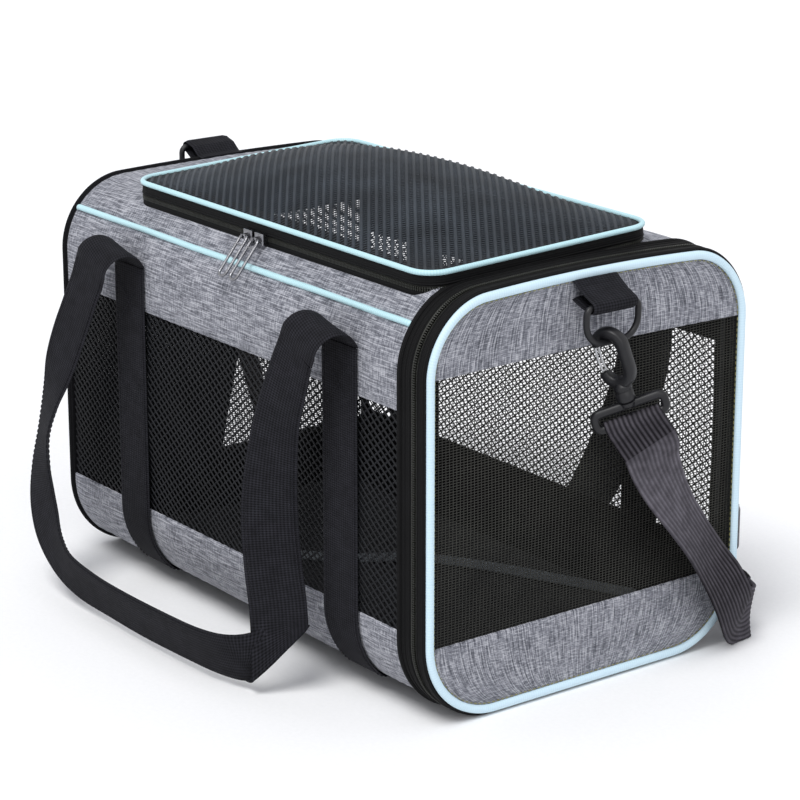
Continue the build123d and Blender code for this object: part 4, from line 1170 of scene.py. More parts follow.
# the free loops after their arches: point, then the way the width runs
rearRun = [
    (-140.5, -163.5, 222, 0.9, -0.03, -0.4), (-148.5, -166.5, 202, 0.92, 0, -0.36),
    (-156.5, -170, 181, 0.95, 0.02, -0.3), (-163.5, -173.5, 160, 0.96, -0.05, -0.25),
    (-168.5, -177.5, 138, 0.95, -0.25, -0.12), (-171, -182.5, 114, 0.93, -0.33, 0.05),
    (-168.5, -187.5, 91, 0.9, -0.15, 0.3), (-161, -192, 70, 0.75, 0.05, 0.6),
    (-147.5, -196, 50.5, 0.5, 0.1, 0.8), (-128, -199.5, 35.5, 0.28, -0.05, 0.92),
    (-104, -201, 26.5, 0.1, -0.22, 0.94), (-65, -201, 22.8, 0.03, -0.33, 0.93),
    (-22, -201, 21.8, 0, -0.35, 0.94), (30, -200, 22.3, 0, -0.36, 0.93), (62, -198, 22.8, 0, -0.36, 0.93),
    (84, -193, 23.8, 0, -0.34, 0.94), (98, -184.5, 26.5, 0, -0.3, 0.95),
]
frontRun = [
    (109, -164, 215, 0.93, 0.1, -0.3), (102.5, -168, 186, 0.95, 0.24, -0.15), (99, -171, 150, 0.85, 0.5, 0),
    (98.5, -172, 119, 0.7, 0.7, 0), (102, -172, 87, 0.62, 0.78, 0), (107, -172, 60, 0.6, 0.8, 0),
]
farRun = [
    (-160, 164.5, 216, 0.88, -0.2, -0.35), (-175, 168.5, 188, 0.75, -0.6, -0.15),
    (-193, 172, 150, 0.45, -0.9, 0.05), (-206, 173, 104, 0.1, -1, 0), (-202, 170, 60, 0, -1, 0),
    (-178, 166, 24, 0, -1, 0), (-140, 162, 7.5, 0, -1, 0), (-98, 160, 3.6, 0, -1, 0),
    (-50, 160, 3.6, 0, -1, 0), (-14, 164, 8.5, -0.1, -1, 0), (8, 170, 26, -0.35, -0.93, 0),
    (20, 174, 48, -0.5, -0.85, 0), (36, 176, 78, -0.58, -0.81, 0), (52, 176, 110, -0.62, -0.78, 0.05),
    (68, 174, 145, -0.7, -0.7, 0.1), (80, 170, 180, -0.85, -0.45, 0.25), (91, 165, 214, -0.9, -0.15, 0.4),
]


def sewnLeg(middle):
    # rows of point and width way, up the bag's side from its base to where the arch starts
    s = np.arange(webbing["base"], atHeight(webbing["fold"]), -3.0)
    points, normal = onBody(-1)(np.full(len(s), middle), s)
    rows = np.hstack([points + normal * 1.9, np.broadcast_to([1.0, 0, 0], points.shape)])
    return rows[rows[:, 2] < webbing["fold"] - 3]


def archOver(middle):
    # half turn about a leaning fold: the strap winds on by radius * turn * tan(lean) as it goes over,
    # and leaves leaning back
    turn = np.linspace(0, math.pi, 17)[:, None]
    radius, lean = webbing["archRound"], math.radians(webbing["lean"])
    along = np.array([math.cos(lean), 0, -math.sin(lean)])
    up = np.array([math.sin(lean), 0, math.cos(lean)])
    inwards = np.array([0, 1.0, 0])
    centre = np.array([middle, -bag["side"] - webbing["thick"] / 2 - radius, webbing["fold"]])
    over, onward = np.cos(turn) * inwards + np.sin(turn) * up, np.cos(turn) * up - np.sin(turn) * inwards
    points = centre + radius * over - along * radius * turn * math.tan(lean)
    across = along * math.cos(lean) + onward * math.sin(lean)
    return np.hstack([points, across])


def edgeStitches(work, points, side, up):
    # a row of stitches along both edges of a strap's face
    for edge in (-1, 1):
        line = points + side * edge * (webbing["width"] / 2 - webbing["stitchIn"]) + up * webbing["thick"] / 2
        stitchRow(work, line, up, "edge")


def towards(vectors, way):
    # the same vectors, turned over where needed so that they face 'way'
    flip = np.where((vectors * way).sum(axis=-1, keepdims=True) < 0, -1.0, 1.0)
    return vectors * flip


def strapRings(rows, ring):
    # a flat ring at each row, its faces kept on the same side all the way along
    _, across, up = framesAlong(rows[:, :3], rows[:, 3:])
    return rows[:, None, :3] + across[:, None] * ring[:, :1] - up[:, None] * ring[:, 1:]


def makeLegs(side, word, middles, mirror, ring):
    legs, sewn, arches = Stitchery(), Stitchery(), Stitchery()
    for middle in middles:
        arch = archOver(middle)
        rows = evenly(np.vstack([sewnLeg(middle), arch[:1] - [0, 0.6, 0.4, 0, 0, 0]]), 3.0) * mirror
        _, across, up = framesAlong(rows[:, :3], rows[:, 3:])
        up = towards(up, np.array([0, side * 1.0, 0.2]))
        sweep(legs, rows[:, :3], across, up, ring)
        edgeStitches(sewn, rows[2:, :3], across[2:], up[2:])
        box, face = rows[-16:-3], up[-16:-3]
        for start in (-1, 1):  # a cross of stitches under the arch
            t = np.linspace(0, 1, len(box))[:, None]
            reach = (webbing["width"] / 2 - 4) * (start * (1 - t) - start * t)
            line = box[:, :3] + np.array([1.0, 0, 0]) * reach + face * webbing["thick"] / 2
            stitchRow(sewn, line, face, "cross")
        lead = arch[-1] + loopWay() * 6.4
        arches.tubes(strapRings(np.vstack([arch, lead]) * mirror, ring)[None])
    legs.make(f"{word}SewnLegs", "webbing", body="carrier", slot="black_webbing",
              replaces=[f"{word}_handle_legs"])
    sewn.make(f"{word}LegStitches", "blackThread", body="carrier")
    bent = arches.make(f"{word}HandleArches", "webbing", slot="black_webbing")
    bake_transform(bent)


def loopWay():
    # the way in which a strap leaves its arch, as a change of one row
    lean = 2 * math.radians(webbing["lean"])
    return np.array([-math.sin(lean), 0, -math.cos(lean), 0, 0, 0])


def makeHandle(side, word):
    mirror = np.array([1, -side, 1, 1, -side, 1.0])
    ring = flatRing(webbing["width"], webbing["thick"])
    middles = webbing[word]
    makeLegs(side, word, middles, mirror, ring)
    start = []
    for middle in middles:
        last = archOver(middle)[-1]
        start.append(np.array([(last + loopWay() * reach) * mirror for reach in (6.0, 11.0)]))
    loop, sewn = Stitchery(), Stitchery()
    if word == "near":
        corner, way, face = (np.array(webbing[key]) for key in ("corner", "cornerWay", "cornerFace"))
        normal = unit(way - np.array([0, 0, 1.0]))
        up = np.array([0, 0, 1.0])
        gap = face * webbing["layers"]
        back = [np.concatenate([corner - gap + way * reach, up]) for reach in (0, 28)]
        front = [np.concatenate([corner + gap - up * reach, way]) for reach in (0, 28)]
        lower = evenly(rounded(np.vstack([start[0], rearRun, back]), 8), 2.5)
        upper = evenly(rounded(np.vstack([start[1], frontRun, front]), 8), 2.5)
        first = creaseCut(strapRings(lower, ring), corner, normal)
        last = creaseCut(strapRings(upper[::-1], ring)[::-1], corner, normal)[::-1]
        loop.tubes(np.concatenate([first, creaseBend(first[-1], last[0], normal), last])[None])
        parts = [rows[(rows[:, :3] - corner) @ normal < -26] for rows in (lower, upper)]
    else:
        path = rounded(np.vstack([start[0], farRun, start[1][::-1] * [1, 1, 1, -1, -1, -1]]), 8)
        parts = [evenly(path, 2.5)]
        loop.tubes(strapRings(parts[0], ring)[None])
    for rows in parts:
        _, across, up = framesAlong(rows[:, :3], rows[:, 3:])
        for turned in (-1, 1):
            edgeStitches(sewn, rows[:, :3], across, up * turned)
    loop.make(f"{word}HandleLoop", "webbing", body=f"{word}_handle", slot="black_webbing",
              replaces=[f"{word}_handle"])
    sewn.make(f"{word}HandleStitches", "blackThread", body=f"{word}_handle")


def creaseCut(rings, corner, normal):
    # every line of the strap is drawn in to end on the slanting crease: (point - corner) . normal = 0
    reach = (rings - corner) @ normal
    column = np.arange(rings.shape[1])
    past = (reach >= 0).argmax(axis=0)
    before, after = reach[past - 1, column], reach[past, column]
    cross = past - 1 + before / (before - after)
    first = int(past.min()) - 2
    index = first + np.linspace(0, 1, 12)[:, None] * (cross - first)
    low = np.floor(index).astype(int).clip(0, len(rings) - 2)
    share = (index - low)[..., None]
    return np.concatenate([rings[:first], rings[low, column] * (1 - share) + rings[low + 1, column] * share])


def creaseBend(a, b, normal):
    # half turn from one layer's end to the other's: middle - reach * cos + outwards * |reach| * sin
    turn = np.linspace(0, math.pi, 9)[1:-1, None, None]
    middle, reach = (a + b) / 2, (b - a) / 2
    size = np.linalg.norm(reach, axis=1, keepdims=True).clip(0.1, 2.4)
    return middle - reach * np.cos(turn) + normal * size * np.sin(turn)


for side, word in ((-1, "near"), (1, "far")):
    makeHandle(side, word)
print("handles are made")


def strapPiece(name, rows, width, thick, finishName, slot, body, replaces, ribs=0, ribDepth=0.0, step=2.2):
    # a woven strap along rows of a point and the way the width runs
    rows = evenly(np.asarray(rows, float), step)
    _, across, up = framesAlong(rows[:, :3], rows[:, 3:])
    work = Stitchery()
    sweep(work, rows[:, :3], across, up, flatRing(width, thick, ribs, ribDepth), flat=True)
    work.make(name, finishName, body=body, slot=slot, replaces=replaces)
    return rows, across, up


tab = {
    "width": 37.0, "thick": 1.8, "stitched": 15.0,
    # (x, z) before the ring's bar; the turn round it as x, z, radius and two angles; (x, z) after it
    "front": ([(213.6, 281.0), (215.6, 279.4), (220.0, 276.0), (227, 271.4)], (233.5, 264.5, 3.55, 62, -110),
              [(226, 262.6), (219.5, 265.0), (214.6, 267.4)]),
    "rear": ([(-208.0, 284.6), (-214, 285.6), (-221, 291.0)], (-230.5, 290, 3.55, 60, 270),
             [(-219, 279.6), (-217.0, 274), (-216.6, 262)]),
    # where its row of stitches lies, and the way that faces
    "frontRow": (221.2, 276.3, (0.6, 0, 0.8)), "rearRow": (-217.6, 266.0, (-1.0, 0, 0)),
}
tabBodies = {"front": "front_door", "rear": "carrier"}


def makeTabs():
    # a short strap folded round each D ring's bar, sewn to the bag with its two ends
    for word, body in tabBodies.items():
        before, (x, z, radius, first, last), after = tab[word]
        turn = np.radians(np.linspace(first, last, 14))
        bend = np.column_stack([x + radius * np.cos(turn), z + radius * np.sin(turn)])
        line = np.vstack([before, bend, after])
        rows = np.insert(line, 1, 0, axis=1)
        rows = np.hstack([rows, np.broadcast_to([0, 1.0, 0], rows.shape)])
        strapPiece(f"{word}Tab", rows, tab["width"], tab["thick"], "webbing", "black_webbing", body,
                   [f"{word}_tab"], step=1.2)
    for word, body in tabBodies.items():
        x, z, face = tab[f"{word}Row"]
        y = np.linspace(-tab["stitched"], tab["stitched"], 24)
        line = np.column_stack([y * 0 + x, y, y * 0 + z])
        sewn = Stitchery()
        stitchRow(sewn, line, np.broadcast_to(face, line.shape), "cross")
        sewn.make(f"{word}TabStitches", "blackThread", body=body)


makeTabs()


# ---- rings, snap hooks and the shoulder strap

hookSize = {
    "width": 25.0, "length": 40.0, "bar": 5.4, "top": 8.9,
    "start": 172, "stop": 168,  # degrees of the hook's bow over its tip and under its root
    "halfIn": 3.8, "halfOut": 4.2, "tipShare": 0.35, "rootShare": 0.2,
    "gateWire": 0.75, "gateApart": 1.9, "gateOut": 2.4,
    # the gate's side wire, as x and depth from its middle
    "gateLine": [(-9.6, 8.0), (-10.2, 4), (-10.6, 0), (-10.4, -4), (-10.0, -8.2)],
    # depth and radius of the swivel's barrel and of the eye's pin
    "barrel": [(28.0, 4.4), (29.6, 5.2), (30.2, 6.0), (31.0, 6.2), (33.0, 6.2), (33.4, 5.7), (34.0, 5.7),
               (34.4, 6.2), (39.6, 6.2), (40.6, 5.9), (41.1, 5.2), (41.1, 3.3)],
    "pin": [(37.0, 2.6), (41.3, 2.7), (41.5, 4.6), (42.2, 5.4), (44.6, 5.0), (45.6, 3.4), (45.8, 1.5)],
    # the eye: half width and height of its outline, corner, depth of its middle, half its bar both ways
    "eyeHalf": (23.5, 5.5), "eyeRound": 3.8, "eyeDepth": 49.4, "eyeBar": (2.9, 3.0),
}


class HookPlace:
    # a snap hook's own directions: 'down' its length from the ring's bar, 'hook' and 'eye' across it

    def __init__(self, bar, down, hookAcross, eyeAcross):
        self.bar, self.down = np.array(bar, float), unit(np.array(down, float))
        self.hook, self.eye = self.square(hookAcross), self.square(eyeAcross)

    def square(self, across):
        across = np.array(across, float)
        return unit(across - self.down * (across @ self.down))

    def at(self, across, x, depth, out=0.0):
        x, depth, out = (v[..., None] for v in np.broadcast_arrays(np.asarray(x, float), depth, out))
        return self.bar + across * x + self.down * depth + np.cross(across, -self.down) * out


def barSweep(work, place, across, x, depth, halfIn, halfOut, loop=False, power=3.0, count=20):
    # a moulded bar along a flat line of (x, depth), its section a soft rounded box
    line = np.stack([x, depth], axis=1)
    if loop:
        way = unit(np.roll(line, -1, axis=0) - np.roll(line, 1, axis=0))
    else:
        way = unit(np.gradient(line, axis=0))
    square = np.stack([-way[:, 1], way[:, 0]], axis=1)
    turn = np.linspace(0, math.tau, count, endpoint=False)
    ring = np.stack([np.cos(turn), np.sin(turn)], axis=1)
    ring = np.sign(ring) * np.abs(ring) ** (2 / power)
    halfIn, halfOut = np.broadcast_to(halfIn, len(line)), np.broadcast_to(halfOut, len(line))
    flat = line[:, None] + square[:, None] * (ring[:, 0] * halfIn[:, None])[..., None]
    work.tubes(place.at(across, flat[..., 0], flat[..., 1], ring[:, 1] * halfOut[:, None])[None], loop=loop)


def lathe(work, place, across, profile):
    # (depth, radius) pairs turned about the hook's own axis
    depth, radius = np.array(profile, float).T[:, :, None]
    turn = np.linspace(0, math.tau, 28, endpoint=False)
    work.tubes(place.at(across, radius * np.cos(turn), depth + turn * 0, radius * np.sin(turn))[None])


def makeHook(word, place):
    # the body: a bow open on one side, and the barrel that the strap's eye turns in
    half, mid = (hookSize["width"] - hookSize["bar"]) / 2, hookSize["top"] - hookSize["length"] / 2
    straight = (hookSize["length"] - hookSize["width"]) / 2
    upper, lower = -mid - straight, -mid + straight
    over = np.radians(np.linspace(hookSize["start"], 0, 26))
    under = np.radians(np.linspace(0, hookSize["stop"], 26))
    flank = np.linspace(upper, lower, 8)[1:-1]
    x = np.concatenate([half * np.cos(over), flank * 0 + half, half * np.cos(under)])
    depth = np.concatenate([upper - half * np.sin(over), flank, lower + half * np.sin(under)])
    t = np.linspace(0, 1, len(x))
    grow = 1 - hookSize["tipShare"] * np.exp(-t / 0.05) - hookSize["rootShare"] * np.exp(-(1 - t) / 0.04)
    body = Stitchery()
    barSweep(body, place, place.hook, x, depth, hookSize["halfIn"] * grow, hookSize["halfOut"] * grow)
    lathe(body, place, place.hook, hookSize["barrel"])
    body.make(f"{word}HookBody", "plastic", body=f"{word}_snap_hook", slot="black_plastic",
              replaces=[f"{word}_snap_hook"], sharp=60)
    makeGate(word, place, -mid)
    eye = Stitchery()
    flat, _ = roundedLoop(*hookSize["eyeHalf"], (0, 0), (hookSize["eyeRound"],) * 2, 1.2)
    depth = hookSize["eyeDepth"] - flat[:, 1]
    barSweep(eye, place, place.eye, flat[:, 0], depth, *hookSize["eyeBar"], loop=True, power=2.3, count=16)
    lathe(eye, place, place.eye, hookSize["pin"])
    eye.make(f"{word}StrapEye", "plastic", body=f"{word}_strap_eye", slot="black_plastic",
             replaces=[f"{word}_strap_eye"])


def makeGate(word, place, middle):
    # a bent spring wire: two long sides, joined by a short bridge at each end
    gate, radius = Stitchery(), hookSize["gateWire"]
    turn = np.linspace(0, math.tau, 10, endpoint=False)
    line = np.array(hookSize["gateLine"]) + [0, middle]
    fine = rounded(line, 6)
    way = unit(np.gradient(fine, axis=0))
    square = np.stack([-way[:, 1], way[:, 0]], axis=1)
    flat = fine[:, None] + square[:, None] * (radius * np.cos(turn))[:, None]
    for out in (-hookSize["gateApart"], hookSize["gateApart"]):
        height = out + radius * np.sin(turn) + flat[..., 0] * 0
        gate.tubes(place.at(place.hook, flat[..., 0], flat[..., 1], height)[None])
    bridge = np.linspace(-hookSize["gateOut"], hookSize["gateOut"], 7)[:, None]
    for x, depth in (line[-1] - [0, 0.1], line[0] + [0, 0.2]):
        rings = place.at(place.hook, x + radius * np.cos(turn) + bridge * 0,
                         depth + radius * np.sin(turn) + bridge * 0, bridge + turn * 0)
        gate.tubes(rings[None])
    gate.make(f"{word}HookGate", "steel", body=f"{word}_hook_gate", slot="spring_steel",
              replaces=[f"{word}_hook_gate"])


dRing = {"half": 21.7, "drop": 24.0, "lowRound": 14.0, "highRound": 4.4, "wire": 2.15}


def makeRing(word, bar, body):
    # the D ring's straight bar lies in the tab, its loop hangs below
    half, drop, low, high = dRing["half"], dRing["drop"], dRing["lowRound"], dRing["highRound"]
    corners = [(half - high, -high, high, 0), (-half + high, -high, high, 90),
               (-half + low, -drop + low, low, 180), (half - low, -drop + low, low, 270)]
    outline = []
    for y, z, radius, start in corners:
        turn = np.radians(start + np.linspace(0, 90, 12))
        outline.append(np.stack([y + radius * np.cos(turn), z + radius * np.sin(turn)], axis=1))
    outline = np.vstack([*outline, outline[0][:1]])
    flat = evenly(np.insert(outline, 0, 0, axis=1), 2.0)[:-1]
    points = np.array(bar) + flat
    way = unit(np.roll(points, -1, axis=0) - np.roll(points, 1, axis=0))
    front = np.broadcast_to([1.0, 0, 0], points.shape)
    work = Stitchery()
    sweep(work, points, front, np.cross(way, front), roundProfile(0, 0, dRing["wire"], 16), loop=True)
    work.make(f"{word}DRing", "plastic", body=body, slot="black_plastic", replaces=[f"{word}_ring"])


frontHook = HookPlace((233.5, -3, 240.5), (0.16, 0.26, -0.95), (0.95, 0.31, 0), (0.5, 0.86, 0))
rearHook = HookPlace((-230.5, 0, 266), (0, 0.25, -0.97), (-0.97, 0.24, 0), (-0.3, 0.95, 0))
makeHook("front", frontHook)
makeHook("rear", rearHook)
makeRing("front", (233.5, 0, 264.5), "front_ring")
makeRing("rear", (-230.5, 0, 290.0), "rear_ring")

shoulder = {
    "width": 38.0, "thick": 2.0, "ribs": 12, "ribDepth": 0.4, "bend": 4.0, "tail": 21.0,
    "eyeBar": 54.9,  # depth of the eye's lower bar, from the ring's
    "sewn": 15.0, "sewnHalf": 17.0,  # the cross row of stitches below the fold
}
# the strap's own points with the way its width runs: down from each hook, and along the floor between them
hangs = {
    "front": (frontHook, 0.28, 22, [
        (242, 34, 151, 0.1, 0.94, 0.32), (238.5, 48, 131, -0.17, 0.9, 0.39),
        (237, 62, 112, -0.36, 0.78, 0.52), (236.5, 77, 92, -0.42, 0.7, 0.57),
        (236, 92, 71, -0.36, 0.8, 0.48), (236, 105, 53, -0.22, 0.9, 0.37),
        (234.5, 115, 37, -0.18, 0.93, 0.3), (230, 124, 23.5, -0.22, 0.88, 0.4),
        (222, 135, 16.5, -0.3, 0.7, 0.64), (216.5, 147.5, 17.4, -0.25, 0.42, 0.87),
        (207.6, 154, 19.5, -0.1, 0.1, 1)]),
    "rear": (rearHook, 0.0, 20, [
        (-239, 33, 150, -0.5, 0.84, 0.2), (-243, 46, 105, -0.64, 0.75, 0.14),
        (-248, 60, 65, -0.64, 0.73, 0.2), (-251, 73.6, 34.4, -0.5, 0.8, 0.3)]),
}
floorRun = [
    (207, 154.3, 19.5, -0.1, 0.1, 1), (196, 158, 19.6, -0.05, 0.17, 1), (180, 161, 19.1, 0, 0.25, 0.97),
    (148, 171, 16, 0, 0.6, 0.8), (108, 190, 8, 0.1, 0.93, 0.36), (64, 206, 3.2, 0.15, 0.98, 0.1),
    (10, 216, 1.6, 0.05, 1, 0), (-50, 214, 1.6, -0.05, 1, 0), (-105, 203, 1.6, -0.25, 0.97, 0),
    (-158, 183, 1.6, -0.45, 0.89, 0), (-205, 151, 1.8, -0.65, 0.76, 0), (-238, 106, 6.5, -0.78, 0.6, 0.1),
    (-248.5, 84, 16, -0.65, 0.74, 0.2), (-251, 73.5, 34.6, -0.5, 0.8, 0.3),
]


def eyeFold(place, lean):
    # the strap's end: up behind the strap, over the eye's lower bar and down its outer side
    point = place.bar + place.down * shoulder["eyeBar"]
    hang = place.down + place.eye * lean
    out = np.cross(place.eye, place.down)
    bend = shoulder["bend"]
    tail = [(shoulder["tail"], bend - 2.3), (15.0, bend - 2.3), (9.0, -0.6), (5.0, -3.0), (2.0, -bend * 0.95)]
    rows = [point + hang * depth + out * lift for depth, lift in tail]
    for turn in np.radians(np.linspace(180, 4, 12)):
        rows.append(point + out * bend * math.cos(turn) - place.down * bend * math.sin(turn))
    across = np.broadcast_to(place.eye, (len(rows), 3))
    return np.hstack([np.array(rows), across]), point + out * bend, hang


def shoulderPiece(name, rows, body, node):
    return strapPiece(name, rows, shoulder["width"], shoulder["thick"], "strap", "charcoal_webbing", body,
                      [node], shoulder["ribs"], shoulder["ribDepth"], 2.4)


def makeShoulder():
    for word, (place, lean, first, knots) in hangs.items():
        fold, start, hang = eyeFold(place, lean)
        lead = [np.concatenate([point, place.eye]) for point in (start, start + hang * first)]
        route = rounded(np.vstack([lead, knots]), 12)
        rows, across, up = shoulderPiece(f"{word}ShoulderStrap", np.vstack([fold, route[1:]]),
                                         f"{word}_strap_eye", f"shoulder_strap_{word}")
        skip = len(rows) // 4  # past the fold
        away = np.linalg.norm(rows[skip:, :3] - start - hang * shoulder["sewn"], axis=1)
        at = np.argmin(away) + skip
        up = towards(up[at], np.cross(place.eye, place.down))
        half = shoulder["sewnHalf"]
        line = rows[at, :3] + up * 1.05 + across[at] * np.linspace(-half, half, 30)[:, None]
        work = Stitchery()
        stitchRow(work, line, np.broadcast_to(up, line.shape), "strap")
        work.make(f"{word}StrapStitches", "blackThread", body=f"{word}_strap_eye")
    shoulderPiece("floorShoulderStrap", rounded(floorRun, 12), "carrier", "shoulder_strap_middle")


makeShoulder()
print("hooks and straps are made")


# ---- floor pad, leash and the hinge strips

pad = {
    "margin": (3.0, 3.0, 2.2), "round": 26.0, "edge": 5.0, "step": 5.0,  # the box that is blown up
    "pressure": 4.0, "frames": 20, "cap": 8.0,
    "channels": (-105.0, 0.0, 105.0), "depth": 3.2, "wide": 7.0,  # the sewn dents across it
    "low": 6.4, "high": 20.4, "reach": 2.8,  # what it keeps within
}


def padForm():
    # a flat rounded box a little smaller than the pad's own space: its two faces and a round edge
    low, high = (np.array(corner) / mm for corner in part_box("floor_pad"))
    middle, half = (low + high) / 2, (high - low) / 2 - np.array(pad["margin"])
    flat, way = roundedLoop(half[0], half[1], (middle[0], middle[1]), (pad["round"],) * 2, pad["step"])

    def layer(outline, share, height):
        return np.column_stack([middle[:2] + (outline - middle[:2]) * share, np.full(len(flat), height)])

    shares = (0.02, 0.25, 0.5, 0.75)
    rings = [layer(flat, share, middle[2] + half[2]) for share in shares]
    for turn in np.linspace(0, math.pi, 9):
        inset = pad["edge"] * (1 - math.sin(turn))
        rings.append(layer(flat - way * inset, 1, middle[2] + half[2] * math.cos(turn)))
    rings += [layer(flat, share, middle[2] - half[2]) for share in shares[::-1]]
    return np.array(rings), middle, half


def swell(item):
    # blows the box up as cloth under pressure; no point moves further than the cap
    before = readPoints(item)
    cloth = item.modifiers.new("swell", "CLOTH")
    cloth.settings.use_pressure, cloth.settings.uniform_pressure_force = True, pad["pressure"]
    cloth.settings.effector_weights.gravity = 0.0
    cloth.settings.quality = 5
    scene = bpy.context.scene
    for step in range(1, pad["frames"] + 1):
        scene.frame_set(step)
    swapMesh(item)
    scene.frame_set(1)
    move = readPoints(item) - before
    size = np.linalg.norm(move, axis=1, keepdims=True)
    writePoints(item, before + move * np.minimum(1, pad["cap"] * mm / np.maximum(size, 1e-9)))


def makePad():
    rings, middle, half = padForm()
    work = Stitchery()
    work.tubes(rings[None])
    item = work.make("floorPad", "fleece")
    remesh = item.modifiers.new("grain", "REMESH")
    remesh.mode, remesh.voxel_size = "VOXEL", pad["step"] * mm
    swapMesh(item)
    swell(item)
    smooth = item.modifiers.new("finer", "SUBSURF")
    smooth.levels = smooth.render_levels = 1
    swapMesh(item)
    x, y, z = (readPoints(item) / mm).T
    top = np.clip((z - middle[2]) / half[2], 0, 1)
    # the channels: depth * exp(-((x - line) / wide)^2), uneven along their length
    dent = sum(np.exp(-((x - line) / pad["wide"]) ** 2) for line in pad["channels"])
    dent = dent * (0.8 + 0.2 * waves(x, y, 30, 88)) * pad["depth"] * top
    z = z - dent + 0.5 * waves(x, y, 50, 90) * top
    z = pad["low"] + (z - z.min()) * (pad["high"] - pad["low"]) / (z.max() - z.min())
    x, y = (np.clip(v, m - h - pad["reach"], m + h + pad["reach"]) for v, m, h in zip((x, y), middle, half))
    writePoints(item, np.stack([x, y, z], axis=1) * mm)
    item.data.polygons.foreach_set("use_smooth", np.ones(len(item.data.polygons), bool))
    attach(item, "carrier")
    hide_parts("floor_pad")


def readPoints(item):
    co = np.empty(len(item.data.vertices) * 3, np.float32)
    item.data.vertices.foreach_get("co", co)
    return co.reshape(-1, 3).astype(float)


def writePoints(item, points):
    item.data.vertices.foreach_set("co", points.astype(np.float32).ravel())
    item.data.update()


def swapMesh(item):
    # takes the modifiers' result as the piece's own mesh
    graph = bpy.context.evaluated_depsgraph_get()
    mesh = bpy.data.meshes.new_from_object(item.evaluated_get(graph))
    item.modifiers.clear()
    item.data = mesh


leash = {
    "width": 16.0, "thick": 1.6, "height": 21.4,
    # (x, y) on the pad, then the way the width runs
    "run": [(-60, -40, 0, 1), (-52, -40, 0, 1), (-26, -16, -0.6, 0.7), (0, 20, -0.6, 0.8),
            (40, 48, -0.5, 0.85), (90, 72, -0.45, 0.9), (150, 98, -0.4, 0.9)],
}


def makeLeash():
    rows = rounded([(x, y, leash["height"], a, b, 0) for x, y, a, b in leash["run"]], 10)
    strapPiece("safetyLeash", rows, leash["width"], leash["thick"], "leash", "black_webbing", "carrier",
               ["safety_leash"], 5, 0.3)


hinge = {
    "doorLine": (199.5, 211.8), "doorHalf": 76.0, "doorHeight": (2.6, 3.1), "doorThick": 0.7,
    "hatchLine": (-13.5, -4.5), "hatchHalf": 138.0, "hatchOut": (1.3, 0.6), "hatchBend": (-12.0, -6.0),
}


def makeHinges():
    # plain black binding that stays sewn where the zippers leave off, at the door and at the hatch
    line, heights, thick = hinge["doorLine"], hinge["doorHeight"], hinge["doorThick"]
    across = spread(-hinge["doorHalf"], hinge["doorHalf"], 6)
    x, y = np.meshgrid(np.linspace(*line, 12), across, indexing="ij")
    z = np.interp(x, line, heights)
    top, bottom = (np.stack([x, y, z + lift], axis=-1) for lift in (thick / 2, -thick / 2))
    work = Stitchery()
    work.tubes(np.concatenate([top, bottom[:, ::-1]], axis=1)[None])
    door = work.make("doorHinge", "tape", slot="black_cloth")
    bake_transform(door)
    across = spread(-hinge["hatchHalf"], hinge["hatchHalf"], 6)
    a, h = np.meshgrid(across, np.linspace(*hinge["hatchLine"], 10))
    outer, inner = (inHatch(a, hatchHalf[1] + out, h) for out in hinge["hatchOut"])
    work = Stitchery()
    work.tubes(np.concatenate([outer, inner[:, ::-1]], axis=1)[None])
    strip = work.make("hatchHinge", "tape", slot="black_cloth")
    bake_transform(strip)


makePad()
makeLeash()
makeHinges()
print("pad, leash and hinges are made")


# ---- finishes of the CAD's own pieces

pull = {"wire": 1.0, "bend": 3.4, "thick": 0.8, "bar": 0.55}
pullNodes = {"hatch_pull_rear": "chrome", "hatch_pull_front": "chrome", "door_pull": "gunmetal"}


def makePull(node, key):
    # an open frame of round wire with a bar across its foot, laid along the main ways of the pull's solid
    item = nodes[node]
    corners = np.unique(np.round(readPoints(item) / mm, 3), axis=0)
    centre = (corners.min(axis=0) + corners.max(axis=0)) / 2
    _, ways = np.linalg.eigh(np.cov((corners - centre).T))
    long, wide = ways[:, 2] * (1 if ways[2, 2] > 0 else -1), ways[:, 1]
    halfLong = np.ptp(corners @ long) / 2 - pull["wire"]
    halfWide = np.ptp(corners @ wide) / 2 - pull["wire"] * 0.7
    for way in (long, wide):
        reach = corners @ way
        centre = centre + way * (reach.max() + reach.min() - 2 * centre @ way) / 2
    radii = (min(pull["bend"], halfWide * 0.7), halfWide * 0.9)
    flat, out = roundedLoop(halfWide, halfLong, (0, 0), radii, 0.8)
    points = centre + flat[:, :1] * wide + flat[:, 1:] * long
    normal = out[:, :1] * wide + out[:, 1:] * long
    face = np.broadcast_to(np.cross(wide, long), points.shape)
    work = Stitchery()
    sweep(work, points, face, normal, roundProfile(0, 0, pull["wire"], 10), loop=True)
    bar = centre + long * halfLong * pull["bar"] + wide * np.linspace(-halfWide, halfWide, 7)[:, None]
    ways = (np.broadcast_to(way, bar.shape) for way in (long, face[0]))
    sweep(work, bar, *ways, roundProfile(0, 0, pull["thick"], 8))
    words = node.split("_")
    name = words[0] + "".join(word.title() for word in words[1:]) + "Frame"
    work.make(name, key, body=node, slot="slider_metal", replaces=[node])


kept = {
    "base_board": "board",
    "rear_frame_wire": "sleeve", "front_frame_wire": "sleeve", "door_frame_wire": "sleeve",
    "hatch_slider_rear": "chrome", "hatch_slider_front": "chrome", "door_slider": "gunmetal",
    "strap_adjuster": "plastic", "leash_clip": "plastic",
}


for node, key in pullNodes.items():
    makePull(node, key)
for node, key in kept.items():
    nodes[node].data.materials.clear()
    nodes[node].data.materials.append(finish[key])
print("kept pieces have their finishes")


# ---- floor, world and light

light = {
    "sky": 0.62,
    # azimuth, elevation, strength and width in degrees
    "keySun": (20, 62, 1.9, 28.0), "frontSun": (75, 30, 0.5, 40),
}


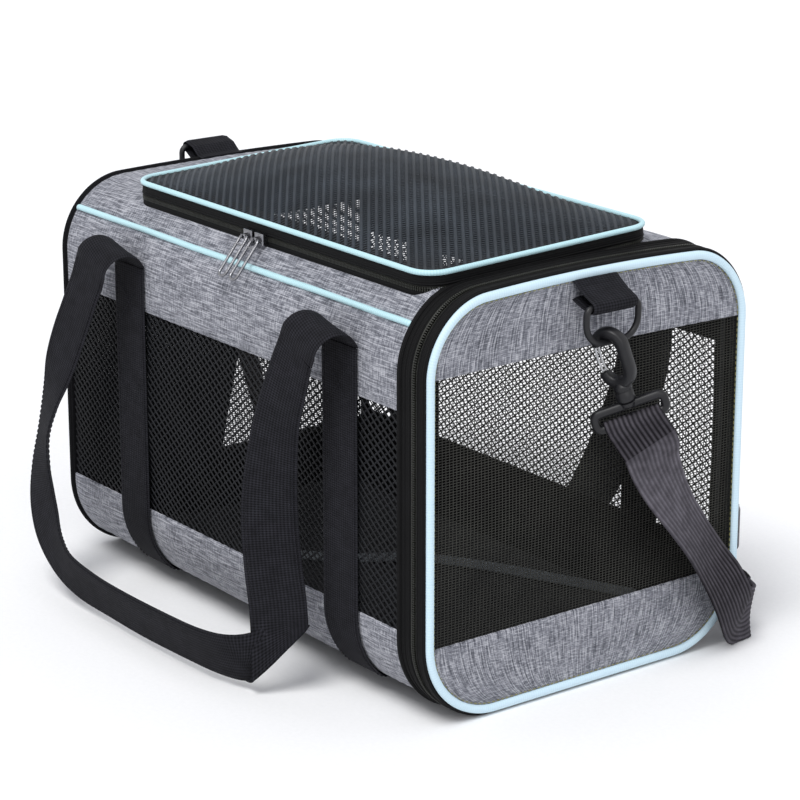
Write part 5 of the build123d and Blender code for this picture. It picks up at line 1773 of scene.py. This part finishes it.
def makeFloor():
    mesh = bpy.data.meshes.new("studioFloor")
    corners = [(x, y, -0.0004) for x, y in ((-9, -9), (9, -9), (9, 9), (-9, 9))]
    mesh.from_pydata(corners, [], [(0, 1, 2, 3)])
    material, tree, surface = newMaterial("studioPaper", Roughness=0.9, Specular_IOR_Level=0.1)
    inputs = {0: mottle(tree, 3.0, 2), 6: "#f4f4f4", 7: "#fbfbfb"}
    tone = addNode(tree, "ShaderNodeMix", inputs, data_type="RGBA")
    tree.links.new(tone.outputs[2], surface.inputs["Base Color"])
    mesh.materials.append(material)
    item = bpy.data.objects.new("studioFloor", mesh)
    bpy.context.scene.collection.objects.link(item)


def makeWorld():
    world = bpy.data.worlds.new("studioWorld")
    bpy.context.scene.world = world
    world.use_nodes = True
    tree = world.node_tree
    tree.nodes.clear()
    # the camera and mirror-like surfaces see plain white, and the rest is lit by a softer sky
    rays = addNode(tree, "ShaderNodeLightPath").outputs
    inputs = {0: rays["Is Glossy Ray"], 1: rays["Is Transmission Ray"]}
    mirror = addNode(tree, "ShaderNodeMath", inputs, operation="MAXIMUM")
    inputs = {0: rays["Is Camera Ray"], 1: mirror.outputs[0]}
    seen = addNode(tree, "ShaderNodeMath", inputs, operation="MAXIMUM")
    white = addNode(tree, "ShaderNodeBackground", {"Color": "#ffffff", "Strength": 1.0})
    soft = addNode(tree, "ShaderNodeBackground", {"Color": "#f6f8ff", "Strength": light["sky"]})
    inputs = {0: seen.outputs[0], 1: soft.outputs[0], 2: white.outputs[0]}
    share = addNode(tree, "ShaderNodeMixShader", inputs)
    addNode(tree, "ShaderNodeOutputWorld", {"Surface": share.outputs[0]})


def addSun(name, azimuth, elevation, strength, width):
    data = bpy.data.lights.new(name, "SUN")
    data.energy, data.angle = strength, math.radians(width)
    item = bpy.data.objects.new(name, data)
    az, el = math.radians(azimuth), math.radians(elevation)
    way = Vector((math.sin(az) * math.cos(el), -math.cos(az) * math.cos(el), math.sin(el)))
    item.rotation_euler = way.to_track_quat("Z", "Y").to_euler()
    bpy.context.scene.collection.objects.link(item)


makeFloor()
makeWorld()
for name in ("keySun", "frontSun"):
    addSun(name, *light[name])
bpy.context.scene.view_settings.view_transform = "Standard"
print("floor and light are set")
